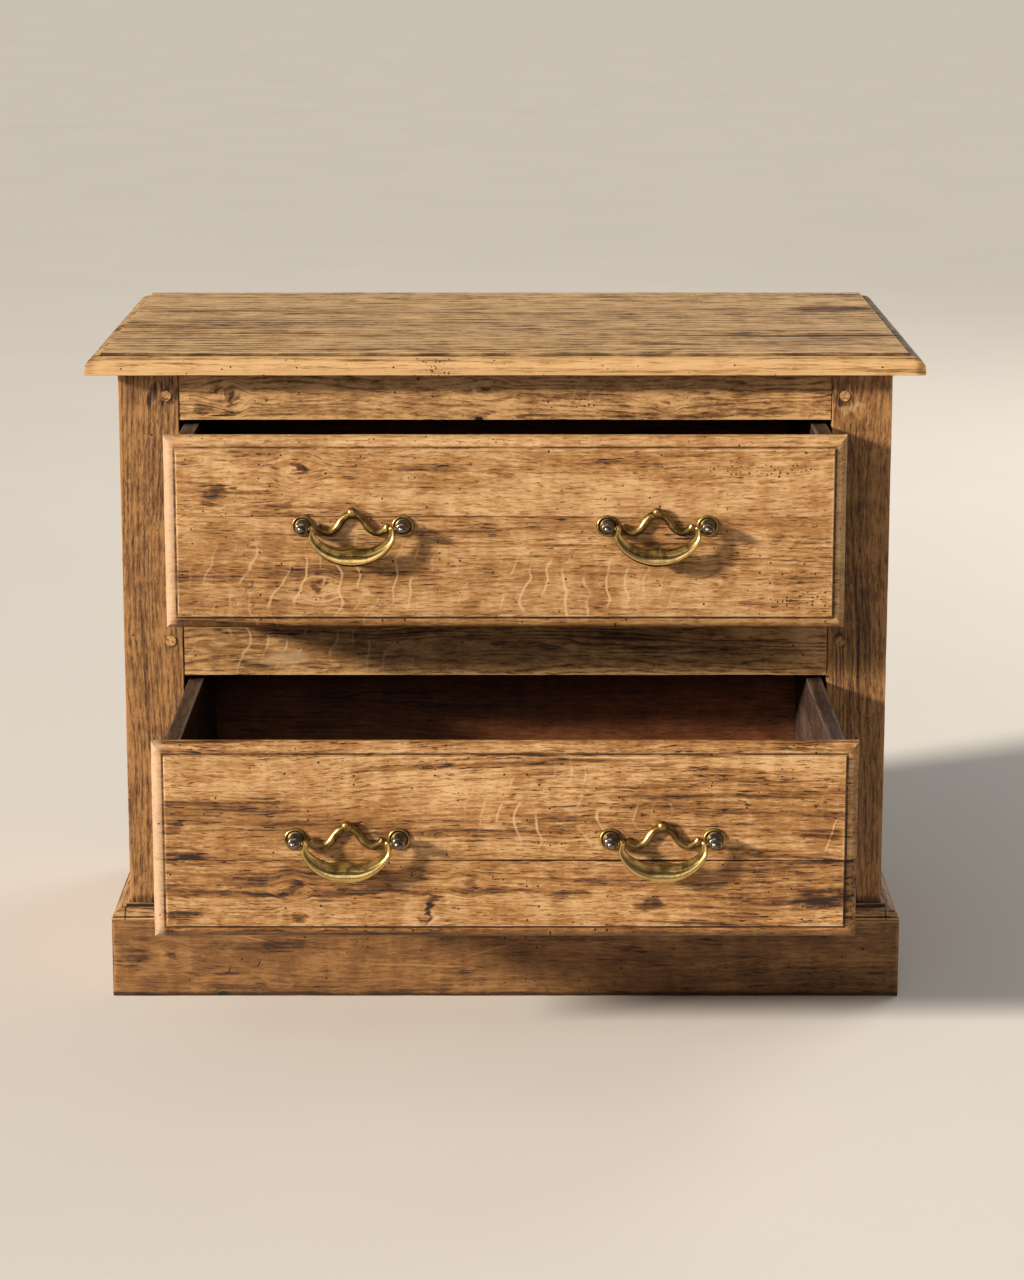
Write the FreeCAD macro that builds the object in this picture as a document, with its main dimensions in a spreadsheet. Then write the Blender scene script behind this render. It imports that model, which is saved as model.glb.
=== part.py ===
"""Oak dresser: framed case, moulded top and plinth, two lipped drawers, four brass drop handles.

Millimetres. Z is up, the front looks along -Y, the origin is the middle of the plinth on the floor.
"""
import FreeCAD
import Part
import math
import os
import re
import Sketcher

SIZES = {
    # frame of the case
    "case_width": 794,
    "case_depth": 448,
    "post_width": 62,
    "post_depth": 58,
    "rail_thickness": 24,
    "rail_setback": 1,
    "top_rail_height": 51,
    "middle_rail_height": 74,
    "bottom_rail_show": 51,
    "bottom_rail_drop": 16,
    "upper_opening": 196,
    "lower_opening": 196,
    "side_rail_height": 60,
    # mortise and tenon joints, pegs and dowels
    "tenon_length": 34,
    "tenon_thickness": 10,
    "tenon_shoulder": 12,
    "mortise_relief": 2,
    "peg_radius": 5.5,
    "peg_length": 30,
    "peg_proud": 0.8,
    "peg_inset": 13,
    "peg_clearance": 0.05,
    "dowel_radius": 5,
    "dowel_rise": 15,
    "dowel_drop": 22,
    "dowel_inset": 17,
    # side panels and back
    "panel_thickness": 10,
    "panel_groove": 9,
    "back_thickness": 12,
    "back_rebate": 14,
    "back_gap": 1.5,
    "nail_radius": 1.3,
    "nail_length": 28,
    "nail_head_radius": 3.5,
    "nail_head_height": 1.2,
    # top
    "top_thickness": 22,
    "top_overhang": 30,
    "top_back_overhang": 2,
    "top_nosing": 6,
    "top_ovolo": 12.5,
    "top_quirk": 3.5,
    # plinth and the moulding above it
    "plinth_height": 84,
    "plinth_thickness": 18,
    "moulding_height": 14,
    "moulding_bead": 2.4,
    "moulding_quirk": 2.5,
    "moulding_ovolo": 7,
    "moulding_step": 3.6,
    "moulding_ledge": 3.5,
    # runners and guides
    "runner_thickness": 24,
    "runner_width": 36,
    "runner_housing": 8,
    "runner_gap": 1,
    "guide_height": 20,
    "guide_proud": 1.5,
    # drawer fronts
    "front_side_lip": 6,
    "front_top_lip": 3,
    "front_bottom_gap": 2,
    "front_overlay": 15,
    "front_ovolo": 10,
    "front_edge": 2,
    "front_quirk": 3,
    "front_inner": 11,
    "front_lip_gap": 0.5,
    "upper_seam": 81,
    "lower_seam": 117,
    # drawer boxes
    "box_side_gap": 4,
    "box_bottom_gap": 0.5,
    "box_top_gap": 5,
    "box_back_gap": 9,
    "side_thickness": 16,
    "box_back_thickness": 14,
    "box_back_drop": 6,
    "bottom_thickness": 8,
    "bottom_rise": 10,
    "bottom_groove": 6,
    "tail_length": 9,
    "upper_open": 95,
    "lower_open": 255,
    # handles
    "handle_spread": 152,
    "handle_bore_spacing": 100,
    "upper_handle_rise": 8,
    "lower_handle_rise": 3,
    "stud_radius": 2.5,
    "stud_clearance": 0.2,
    "stud_end": 9,
    "nut_width": 11,
    "nut_height": 5,
    "rosette_radius": 11,
    "rosette_height": 2.4,
    "rosette_ring": 1.5,
    "collar_radius": 6.6,
    "collar_height": 3,
    "neck_radius": 4,
    "ball_radius": 6.5,
    "ball_standoff": 14,
    "cap_radius": 4.2,
    "tip_radius": 2.6,
    "bar_radius": 3.1,
    "bar_standoff": 3.4,
    "finial_radius": 3.6,
    "finial_height": 14,
    "bail_half_width": 45,
    "bail_drop": 38,
    "bail_band": 18,
    "bail_hump": 3,
    "bail_end_width": 6,
    "bail_thickness": 6,
    "bail_tuck": 2.5,
    "bail_pin_radius": 1.9,
    "bail_pin_clearance": 0.06,
    "bail_pin_reach": 3.5,
    "bail_pin_end": 0.4,
    "bail_hang": 8,
}

# levels and planes that several pieces share, in terms of the sizes
HALF = "(case_width / 2)"
POST_IN = "(case_width / 2 - post_width)"
FRONT = "((plinth_thickness - case_depth) / 2)"
BACK = "((plinth_thickness + case_depth) / 2)"
BOTTOM_RAIL_LOW = "(plinth_height - bottom_rail_drop)"
LOWER_FLOOR = "(plinth_height + moulding_height + bottom_rail_show)"
LOWER_CEILING = f"({LOWER_FLOOR} + lower_opening)"
UPPER_FLOOR = f"({LOWER_CEILING} + middle_rail_height)"
UPPER_CEILING = f"({UPPER_FLOOR} + upper_opening)"
CASE_TOP = f"({UPPER_CEILING} + top_rail_height)"
RAIL_FRONT = f"({FRONT} + rail_setback)"
RAIL_BACK = f"({FRONT} + rail_setback + rail_thickness)"
REAR_RAIL_BACK = f"({BACK} - back_thickness)"
REAR_RAIL_FRONT = f"({BACK} - back_thickness - rail_thickness)"
SIDE_OUT = f"({HALF} - rail_setback)"
SIDE_IN = f"({HALF} - rail_setback - rail_thickness)"
SIDE_MID = f"({HALF} - rail_setback - rail_thickness / 2)"
POST_BACK = f"({FRONT} + post_depth)"
REAR_POST_FRONT = f"({BACK} - post_depth)"
BOX_HALF = f"({POST_IN} - box_side_gap)"
BOX_LENGTH = "(case_depth - back_thickness - rail_thickness - box_back_gap)"
PIVOT_HALF = "(handle_bore_spacing / 2)"

MITRE_REACH = 60
TAILS = 3
BACK_BOARDS = 3
TOP_SEAMS = (0.36, 0.68)
BAIL_STEPS = 8
SECTION_POINTS = 20

AXES = {
    "x": FreeCAD.Rotation(FreeCAD.Vector(0, 1, 0), 90),
    "y": FreeCAD.Rotation(FreeCAD.Vector(1, 0, 0), -90),
    "z": FreeCAD.Rotation(),
    "-y": FreeCAD.Rotation(FreeCAD.Vector(1, 0, 0), 90),
}

os.makedirs("parts", exist_ok=True)
doc = FreeCAD.newDocument("dresser")
sheet = doc.addObject("Spreadsheet::Sheet", "Sizes")
for row, (alias, number) in enumerate(SIZES.items(), start=1):
    sheet.set(f"A{row}", alias)
    sheet.set(f"B{row}", str(number))
    sheet.setAlias(f"B{row}", alias)
doc.recompute()

pieces = []


def size(alias):
    """Value of one cell of the sheet."""
    return float(sheet.get(alias))


def formula(text):
    """Expression with the sheet's name put before each alias."""
    return re.sub("|".join(rf"\b{alias}\b" for alias in SIZES), lambda word: "Sizes." + word.group(), text)


def bind(thing, **properties):
    """Drives properties of an object from the sheet."""
    for name, text in properties.items():
        thing.setExpression(name, formula(text))
    return thing


def place(thing, x="0", y="0", z="0"):
    """Drives the position of an object from the sheet."""
    for axis, text in (("x", x), ("y", y), ("z", z)):
        thing.setExpression(f"Placement.Base.{axis}", formula(text))
    return thing


def piece(label, thing):
    """Names an object as one sub-part of the assembly."""
    thing.Label = label
    pieces.append(thing)
    return thing


def box(x, y, z):
    """Box between pairs of expressions along each axis."""
    block = doc.addObject("Part::Box", "block")
    bind(block, Length=f"{x[1]} - ({x[0]})", Width=f"{y[1]} - ({y[0]})", Height=f"{z[1]} - ({z[0]})")
    return place(block, x[0], y[0], z[0])


def cylinder(radius, length, along, x, y, z):
    """Round rod that starts at a point and runs along an axis."""
    rod = doc.addObject("Part::Cylinder", "rod")
    rod.Placement = FreeCAD.Placement(FreeCAD.Vector(), AXES[along])
    return place(bind(rod, Radius=radius, Height=length), x, y, z)


def sphere(radius, x, y, z):
    """Ball about a point."""
    return place(bind(doc.addObject("Part::Sphere", "ball"), Radius=radius), x, y, z)


def fuse(*things):
    """One solid from several."""
    if len(things) == 1:
        return things[0]
    whole = doc.addObject("Part::MultiFuse", "whole")
    whole.Shapes = list(things)
    return whole


def cut(base, *tools):
    """Base with the tools taken away."""
    rest = doc.addObject("Part::Cut", "rest")
    rest.Base = base
    rest.Tool = fuse(*tools)
    return rest


def common(base, tool):
    """What two solids share."""
    shared = doc.addObject("Part::Common", "shared")
    shared.Base = base
    shared.Tool = tool
    return shared


def group(*things):
    """Separate solids kept as one group."""
    bundle = doc.addObject("Part::Compound", "bundle")
    bundle.Links = list(things)
    return bundle


def mirror(thing):
    """Right-hand copy of a left-hand piece."""
    twin = doc.addObject("Part::Mirroring", "twin")
    twin.Source = thing
    twin.Base = FreeCAD.Vector()
    twin.Normal = FreeCAD.Vector(1, 0, 0)
    return twin


def outline(body, plane, points):
    """Closed sketch on an origin plane of a body, each corner driven by two expressions."""
    sketch = body.newObject("Sketcher::SketchObject", "outline")
    datum = [item for item in body.Origin.OriginFeatures if item.Role == plane][0]
    sketch.AttachmentSupport = (datum, [""])
    sketch.MapMode = "FlatFace"
    count = len(points)
    turn = [2 * math.pi * (step + 0.3) / count for step in range(count)]
    start = [FreeCAD.Vector(100 * math.cos(angle), 100 * math.sin(angle), 0) for angle in turn]
    lines = [Part.LineSegment(start[step], start[(step + 1) % count]) for step in range(count)]
    sketch.addGeometry(lines, False)
    for step in range(count):
        sketch.addConstraint(Sketcher.Constraint("Coincident", step, 2, (step + 1) % count, 1))
    for step, corner in enumerate(points):
        for kind, text, guess in zip(("DistanceX", "DistanceY"), corner, start[step]):
            index = sketch.addConstraint(Sketcher.Constraint(kind, step, 1, guess))
            sketch.setExpression(f"Constraints[{index}]", formula(text))
    return sketch


def rectangle(across, up):
    """Corners of a rectangle between two pairs of expressions."""
    return [(across[0], up[0]), (across[1], up[0]), (across[1], up[1]), (across[0], up[1])]


def pad(body, plane, points, length, backwards=False):
    """Solid of an outline pushed out from its plane."""
    feature = body.newObject("PartDesign::Pad", "pad")
    feature.Profile = outline(body, plane, points)
    feature.Reversed = backwards
    bind(feature, Length=length)
    body.Tip = feature
    return feature


def round_edges(body, feature, radius, wanted):
    """Rounds the edges of a feature whose middle points pass a test."""
    doc.recompute()
    edges = enumerate(feature.Shape.Edges, start=1)
    names = [f"Edge{n}" for n, edge in edges if wanted(edge.CenterOfMass, feature.Shape.BoundBox)]
    fillet = body.newObject("PartDesign::Fillet", "fillet")
    fillet.Base = (feature, names)
    bind(fillet, Radius=radius)
    body.Tip = fillet
    return fillet


def symmetric(half):
    """Pair of expressions either side of the middle plane."""
    return f"-({half})", half


def new_body():
    """Empty body."""
    return doc.addObject("PartDesign::Body", "body")


def top_boards(dowel_holes):
    """Three edge-glued boards with an ovolo moulding along the front and both sides."""
    wide = f"({HALF} + top_overhang)"
    deep = (f"{FRONT} - top_overhang", f"{BACK} + top_back_overhang")
    inset = "(top_ovolo + top_quirk)"
    body = new_body()
    slab = pad(body, "XY_Plane", rectangle(symmetric(wide), deep), "top_nosing + top_ovolo")
    round_edges(body, slab, "top_ovolo",
                lambda spot, limits: spot.z > limits.ZMax - 0.01 and spot.y < limits.YMax - 1)
    field = rectangle(symmetric(f"{wide} - {inset}"), (f"{deep[0]} + {inset}", deep[1]))
    pad(body, "XY_Plane", field, "top_thickness")
    place(body, z=CASE_TOP)
    panel = cut(body, *dowel_holes)
    depth = "(case_depth + top_overhang + top_back_overhang)"
    ends = [deep[0]] + [f"{deep[0]} + {depth} * {share}" for share in TOP_SEAMS] + [deep[1]]
    tall = (CASE_TOP, f"{CASE_TOP} + top_thickness")
    for name, near, far in zip(("front", "middle", "back"), ends, ends[1:]):
        piece(f"top_board_{name}", common(panel, box(symmetric(wide), (near, far), tall)))


def front_tenon(low, high, relief="0"):
    """Long block that makes both tenons of a front rail, or with relief both mortises."""
    reach = f"({POST_IN} + tenon_length + {relief})"
    near = f"({RAIL_FRONT} + (rail_thickness - tenon_thickness) / 2)"
    return box(symmetric(reach), (near, f"{near} + tenon_thickness"),
               (f"{low} + tenon_shoulder", f"{high} - tenon_shoulder"))


def rear_tenon(low, high, relief="0"):
    """Long block that makes both tenons of a back rail, or with relief both mortises."""
    reach = f"({POST_IN} + tenon_length + {relief})"
    near = f"({REAR_RAIL_FRONT} + (rail_thickness - tenon_thickness) / 2)"
    return box(symmetric(reach), (near, f"{near} + tenon_thickness"),
               (f"{low} + tenon_shoulder", f"{high} - tenon_shoulder"))


def side_tenon(low, high, relief="0"):
    """Long block that makes both tenons of a left side rail, or with relief both mortises."""
    across = (f"-({SIDE_MID} + tenon_thickness / 2)", f"-({SIDE_MID} - tenon_thickness / 2)")
    along = (f"{POST_BACK} - tenon_length - {relief}", f"{REAR_POST_FRONT} + tenon_length + {relief}")
    return box(across, along, (f"{low} + tenon_shoulder", f"{high} - tenon_shoulder"))


def middle(low, high):
    """Level half-way between two others."""
    return f"(({low} + {high}) / 2)"


def front_peg(level, radius):
    """Peg through a front post into a front rail's left tenon."""
    return cylinder(radius, "peg_length + peg_proud", "y",
                    f"-({POST_IN} + peg_inset)", f"{FRONT} - peg_proud", level)


def side_peg(level, y, radius):
    """Peg through the outside of a left post into a side rail's tenon."""
    return cylinder(radius, "peg_length + peg_proud", "x", f"-({HALF} + peg_proud)", y, level)


def runner(level, rear):
    """Left runner, notched round both posts and housed into the front rail."""
    across = (f"-({SIDE_IN} - runner_gap)", f"-({POST_IN} - runner_width)")
    along = (f"{RAIL_BACK} - runner_housing", rear)
    return box(across, along, (f"{level} - runner_thickness", level))


def case():
    """Posts, rails, panels, back, top, plinth, runners, guides and the pegs that hold them."""
    front_levels = {
        "top": (UPPER_CEILING, CASE_TOP),
        "middle": (LOWER_CEILING, UPPER_FLOOR),
        "bottom": (BOTTOM_RAIL_LOW, LOWER_FLOOR),
    }
    side_levels = {
        "top": (f"({CASE_TOP} - side_rail_height)", CASE_TOP),
        "bottom": (BOTTOM_RAIL_LOW, LOWER_FLOOR),
    }
    front_stations = (f"({POST_BACK} - peg_inset)", f"({REAR_POST_FRONT} + peg_inset)")
    hole, snug = "peg_radius", "peg_radius - peg_clearance"

    post_across = (f"-{HALF}", f"-{POST_IN}")
    front_post = box(post_across, (FRONT, POST_BACK), ("0", CASE_TOP))
    rear_post = box(post_across, (REAR_POST_FRONT, BACK), ("0", CASE_TOP))
    panel_across = (f"-({SIDE_MID} + panel_thickness / 2)", f"-({SIDE_MID} - panel_thickness / 2)")
    panel = box(panel_across, (f"{POST_BACK} - panel_groove", f"{REAR_POST_FRONT} + panel_groove"),
                (f"{LOWER_FLOOR} - panel_groove", f"{side_levels['top'][0]} + panel_groove"))
    piece("left_side_panel", panel)
    piece("right_side_panel", mirror(panel))

    upper_runner = runner(UPPER_FLOOR, f"{BACK} - back_thickness")
    lower_runner = runner(LOWER_FLOOR, f"{REAR_RAIL_FRONT} + runner_housing")
    for name, blank in (("upper", upper_runner), ("lower", lower_runner)):
        notched = cut(blank, front_post, rear_post)
        piece(f"{name}_left_runner", notched)
        piece(f"{name}_right_runner", mirror(notched))

    front_cuts, rear_cuts, pegs = [panel], [panel], []
    for name, (low, high) in front_levels.items():
        rail = box(symmetric(POST_IN), (RAIL_FRONT, RAIL_BACK), (low, high))
        peg_hole = front_peg(middle(low, high), hole)
        housing = {"top": [], "middle": [upper_runner], "bottom": [lower_runner]}[name]
        left_cuts = [peg_hole, *housing]
        tenoned = fuse(rail, front_tenon(low, high))
        piece(f"front_{name}_rail", cut(tenoned, *left_cuts, *[mirror(tool) for tool in left_cuts]))
        front_cuts += [front_tenon(low, high, "mortise_relief"), peg_hole]
        pegs.append(front_peg(middle(low, high), snug))

    for name, (low, high) in side_levels.items():
        rail = box((f"-{SIDE_OUT}", f"-{SIDE_IN}"), (POST_BACK, REAR_POST_FRONT), (low, high))
        holes = [side_peg(middle(low, high), station, hole) for station in front_stations]
        tenoned = cut(fuse(rail, side_tenon(low, high)), panel, *holes)
        piece(f"left_{name}_rail", tenoned)
        piece(f"right_{name}_rail", mirror(tenoned))
        mortise = side_tenon(low, high, "mortise_relief")
        front_cuts += [mortise, holes[0]]
        rear_cuts += [mortise, holes[1]]
        pegs += [side_peg(middle(low, high), station, snug) for station in front_stations]

    nails = []
    back_half = f"({POST_IN} + back_rebate)"
    rear_cuts.append(box(symmetric(back_half), (REAR_RAIL_BACK, BACK), (BOTTOM_RAIL_LOW, CASE_TOP)))
    board = f"((2 * {back_half} - {BACK_BOARDS - 1} * back_gap) / {BACK_BOARDS})"
    holes = []
    for step in range(BACK_BOARDS):
        left = f"({step} * ({board} + back_gap) - {back_half})"
        for low, high in side_levels.values():
            for share in (0.2, 0.8):
                spot = (f"{left} + {share} * {board}", middle(low, high))
                holes.append(cylinder("nail_radius", "nail_length", "-y", spot[0], BACK, spot[1]))
                shank = cylinder("nail_radius - peg_clearance / 2", "nail_length", "-y",
                                 spot[0], BACK, spot[1])
                head = cylinder("nail_head_radius", "nail_head_height", "y", spot[0], BACK, spot[1])
                nails.append(fuse(shank, head))
    for step in range(BACK_BOARDS):
        left = f"({step} * ({board} + back_gap) - {back_half})"
        plank = box((left, f"{left} + {board}"), (REAR_RAIL_BACK, BACK), (BOTTOM_RAIL_LOW, CASE_TOP))
        piece(f"back_board_{step + 1}", cut(plank, *holes))
    for name, (low, high) in side_levels.items():
        rail = box(symmetric(POST_IN), (REAR_RAIL_FRONT, REAR_RAIL_BACK), (low, high))
        housing = [lower_runner, mirror(lower_runner)] if name == "bottom" else []
        tenoned = fuse(rail, rear_tenon(low, high))
        piece(f"back_{name}_rail", cut(tenoned, *holes, *housing))
        rear_cuts.append(rear_tenon(low, high, "mortise_relief"))
    piece("back_nails", group(*nails))

    dowels, dowel_holes = [], []
    post_middle = f"-({HALF} - post_width / 2)"
    dowel_stations = (f"{POST_BACK} - dowel_inset", f"{REAR_POST_FRONT} + dowel_inset")
    for y, cuts in zip(dowel_stations, (front_cuts, rear_cuts)):
        spot = (post_middle, y, f"{CASE_TOP} - dowel_drop")
        drill = cylinder("dowel_radius", "dowel_drop + dowel_rise", "z", *spot)
        dowel = cylinder("dowel_radius - peg_clearance", "dowel_drop + dowel_rise", "z", *spot)
        cuts.append(drill)
        dowel_holes += [drill, mirror(drill)]
        dowels += [dowel, mirror(dowel)]
    piece("top_dowels", group(*dowels))
    top_boards(dowel_holes)

    for name, blank, cuts in (("front", front_post, front_cuts), ("rear", rear_post, rear_cuts)):
        post = cut(blank, *cuts)
        piece(f"{name}_left_post", post)
        piece(f"{name}_right_post", mirror(post))
    piece("frame_pegs", group(*pegs, *[mirror(peg) for peg in pegs]))

    guides = []
    guide_across = (f"-({SIDE_IN} - runner_gap)", f"-({POST_IN} - guide_proud)")
    for level in (UPPER_FLOOR, LOWER_FLOOR):
        guide = box(guide_across, (POST_BACK, REAR_POST_FRONT), (level, f"{level} + guide_height"))
        guides += [guide, mirror(guide)]
    piece("drawer_guides", group(*guides))


def mitre_tools():
    """Blocks that trim a front board and a left side board to a mitre at the front left corner."""
    corner = (f"-({HALF} + plinth_thickness)", f"({FRONT} - plinth_thickness)")
    tall = "plinth_height + 2 * moulding_height"
    tools = []
    for x, y in ((f"{corner[0]} - {MITRE_REACH} / sqrt(2)", f"{corner[1]} - {MITRE_REACH} / sqrt(2)"),
                 (corner[0], f"{corner[1]} - {MITRE_REACH} * sqrt(2)")):
        block = doc.addObject("Part::Box", "mitre")
        block.Length = 2 * MITRE_REACH
        block.Width = MITRE_REACH
        block.Placement.Rotation = FreeCAD.Rotation(FreeCAD.Vector(0, 0, 1), 45)
        bind(block, Height=tall)
        tools.append(place(block, x, y))
    return tools


def moulding_profile(across, outer, inwards):
    """Corners of the base moulding: bead, quirk, ovolo and ledge."""
    step = f"{across} {inwards} ({outer} - moulding_quirk)"
    ledge = f"{across} {inwards} (moulding_ledge)"
    edge = f"{across} {inwards} {outer}"
    base, top = "plinth_height", "(plinth_height + moulding_height)"
    return [(edge, base), (edge, f"{base} + moulding_bead"), (step, f"{base} + moulding_bead"),
            (step, f"{top} - moulding_step"), (ledge, f"{top} - moulding_step"), (ledge, top),
            (across, top), (across, base)]


def ovolo_corner(depth_in, limits, level):
    """Whether an edge, so far in from the outer face and so high, is the base moulding's ovolo."""
    step = limits.ZMax - size("moulding_step")
    return abs(level - step) < 0.01 and abs(depth_in - size("moulding_quirk")) < 0.01


def plinth():
    """Mitred plinth boards with a moulding on top, round the front and both sides."""
    wide = f"({HALF} + plinth_thickness)"
    front_trim, side_trim = mitre_tools()
    front_board = box(symmetric(wide), (f"{FRONT} - plinth_thickness", FRONT), ("0", "plinth_height"))
    side_board = box((f"-{wide}", f"-{HALF}"), (f"{FRONT} - plinth_thickness", BACK),
                     ("0", "plinth_height"))
    piece("plinth_front", cut(front_board, front_trim, mirror(front_trim)))
    left = piece("plinth_left", cut(side_board, side_trim))
    piece("plinth_right", mirror(left))

    front = new_body()
    strip = pad(front, "YZ_Plane", moulding_profile(FRONT, "plinth_thickness", "-"), f"2 * {wide}")
    round_edges(front, strip, "moulding_ovolo",
                lambda spot, limits: ovolo_corner(spot.y - limits.YMin, limits, spot.z))
    place(front, x=f"-{wide}")
    piece("base_moulding_front", cut(front, front_trim, mirror(front_trim)))
    side = new_body()
    strip = pad(side, "XZ_Plane", moulding_profile(f"-{HALF}", "plinth_thickness", "-"),
                "case_depth + plinth_thickness")
    round_edges(side, strip, "moulding_ovolo",
                lambda spot, limits: ovolo_corner(spot.x - limits.XMin, limits, spot.z))
    place(side, y=BACK)
    left = piece("base_moulding_left", cut(side, side_trim))
    piece("base_moulding_right", mirror(left))


def tail_corners(end, root, low, high):
    """Corners of dovetails up one end of a drawer side, from the low level to the high one."""
    corners = []
    for step in range(TAILS):
        centre = f"{low} + ({high} - ({low})) * {(step + 0.5) / TAILS}"
        pitch = f"({high} - ({low})) / {TAILS}"
        corners += [(root, f"{centre} - {pitch} * 0.27"), (end, f"{centre} - {pitch} * 0.36"),
                    (end, f"{centre} + {pitch} * 0.36"), (root, f"{centre} + {pitch} * 0.27")]
    return corners


def drawer(name, floor, ceiling, opened, seam, rise):
    """Drawer of a two-board lipped front, dovetailed sides, back and bottom, with its handles."""
    lip = f"({FRONT} - front_lip_gap - {opened})"
    front_low, front_high = f"({floor} + front_bottom_gap)", f"({ceiling} + front_top_lip)"
    front_half = f"({POST_IN} + front_side_lip)"
    box_low, box_high = f"({floor} + box_bottom_gap)", f"({ceiling} - box_top_gap)"
    back_high = f"({box_high} - box_back_drop)"
    panel_low = f"({box_low} + bottom_rise)"
    panel_high = f"({panel_low} + bottom_thickness)"
    inner_face, box_end = f"({lip} + front_inner)", f"({lip} + {BOX_LENGTH})"
    face = f"({lip} - front_overlay)"

    outer, inner = "front_edge + front_ovolo", "(front_ovolo + front_quirk)"
    body = new_body()
    blank = pad(body, "XZ_Plane", rectangle(symmetric(front_half), (front_low, front_high)), outer)
    round_edges(body, blank, "front_ovolo", lambda spot, limits: spot.y < limits.YMin + 0.01)
    field = rectangle(symmetric(f"{front_half} - {inner}"),
                      (f"{front_low} + {inner}", f"{front_high} - {inner}"))
    pad(body, "XZ_Plane", field, "front_overlay")
    pad(body, "XZ_Plane", rectangle(symmetric(BOX_HALF), (box_low, box_high)), "front_inner", True)
    place(body, y=lip)

    side_body = new_body()
    tail_tip, tail_root = "front_inner - tail_length", "front_inner"
    back_root = f"{BOX_LENGTH} - box_back_thickness"
    rear = tail_corners(BOX_LENGTH, back_root, panel_high, back_high)
    front = tail_corners(tail_tip, tail_root, box_low, box_high)
    corners = [(tail_root, box_low), (BOX_LENGTH, box_low), (BOX_LENGTH, panel_high),
               (back_root, panel_high), *rear, (back_root, back_high), (BOX_LENGTH, back_high),
               (BOX_LENGTH, box_high), (tail_root, box_high), *reversed(front)]
    pad(side_body, "YZ_Plane", corners, "side_thickness")
    place(side_body, x=f"-{BOX_HALF}", y=lip)

    panel_half = f"({BOX_HALF} - side_thickness + bottom_groove)"
    panel_near = f"({inner_face} - bottom_groove)"
    panel = box(symmetric(panel_half), (panel_near, box_end), (panel_low, panel_high))
    left = piece(f"{name}_left_side", cut(side_body, panel))
    right = piece(f"{name}_right_side", mirror(left))
    piece(f"{name}_bottom", panel)
    back = box(symmetric(BOX_HALF), (f"{box_end} - box_back_thickness", box_end), (panel_high, back_high))
    piece(f"{name}_back", cut(back, side_body, mirror(side_body)))

    level = f"({middle(front_low, front_high)} + {rise})"
    bores, posts, nuts = [], [], []
    for side, centre in (("left", "(-handle_spread)"), ("right", "handle_spread")):
        for end in ("-", "+"):
            x = f"({centre} {end} {PIVOT_HALF})"
            bores.append(cylinder("stud_radius + stud_clearance", "front_overlay + front_inner", "y",
                                  x, face, level))
            posts.append(handle_post(x, face, level, end))
            nuts.append(handle_nut(x, inner_face, level))
        handle_plate(f"{name}_{side}_handle_plate", centre, face, level)
        handle_bail(f"{name}_{side}_bail", centre, face, level)
    piece(f"{name}_handle_posts", group(*posts))
    piece(f"{name}_handle_nuts", group(*nuts))

    whole = cut(body, side_body, mirror(side_body), panel, *bores)
    split = f"({front_high} - {seam})"
    deep = (face, inner_face)
    for board, levels in (("upper", (split, front_high)), ("lower", (box_low, split))):
        piece(f"{name}_front_{board}_board", common(whole, box(symmetric(front_half), deep, levels)))


def handle_post(x, face, level, end):
    """Turned stud: threaded shank, collar, neck, ball with a blind hole for the bail, and tip."""
    def along(text):
        return f"{face} - ({text})"

    seat = "rosette_height"
    shank = cylinder("stud_radius", "front_overlay + front_inner + stud_end + rosette_height", "y",
                     x, along(seat), level)
    collar = doc.addObject("Part::Cone", "collar")
    collar.Placement = FreeCAD.Placement(FreeCAD.Vector(), AXES["-y"])
    bind(collar, Radius1="collar_radius", Radius2="neck_radius", Height="collar_height")
    place(collar, x, along(seat), level)
    neck = cylinder("neck_radius", f"ball_standoff - {seat}", "-y", x, along(seat), level)
    ball = sphere("ball_radius", x, along("ball_standoff"), level)
    cap = sphere("cap_radius", x, along("ball_standoff + 0.65 * ball_radius"), level)
    tip = sphere("tip_radius", x, along("ball_standoff + 1.12 * ball_radius"), level)
    depth = "(bail_pin_reach + bail_pin_end)"
    start = {"-": f"{x} + ball_radius - {depth}", "+": f"{x} - 2 * ball_radius"}[end]
    hole = cylinder("bail_pin_radius + bail_pin_clearance", f"ball_radius + {depth}", "x",
                    start, along("ball_standoff"), level)
    return cut(fuse(shank, collar, neck, ball, cap, tip), hole)


def handle_nut(x, inner_face, level):
    """Square nut on the inside of the drawer front."""
    blank = box((f"{x} - nut_width / 2", f"{x} + nut_width / 2"),
                (inner_face, f"{inner_face} + nut_height"),
                (f"{level} - nut_width / 2", f"{level} + nut_width / 2"))
    bore = cylinder("stud_radius + peg_clearance", "nut_height", "y", x, inner_face, level)
    return cut(blank, bore)


def rounded_path(points):
    """Wire through corner points in the XZ plane, each inner corner rounded to its own radius."""
    corners = [FreeCAD.Vector(x, 0, z) for x, z, radius in points]
    edges, start = [], corners[0]
    radii = [radius for x, z, radius in points[1:-1]]
    for before, corner, after, radius in zip(corners, corners[1:], corners[2:], radii):
        back, ahead = (before - corner).normalize(), (after - corner).normalize()
        half = back.getAngle(ahead) / 2
        inset, out = radius / math.tan(half), radius / math.sin(half)
        enter, leave = corner + back * inset, corner + ahead * inset
        bisector = (back + ahead).normalize()
        edges.append(Part.LineSegment(start, enter).toShape())
        edges.append(Part.Arc(enter, corner + bisector * (out - radius), leave).toShape())
        start = leave
    edges.append(Part.LineSegment(start, corners[-1]).toShape())
    return Part.Wire(edges)


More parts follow.
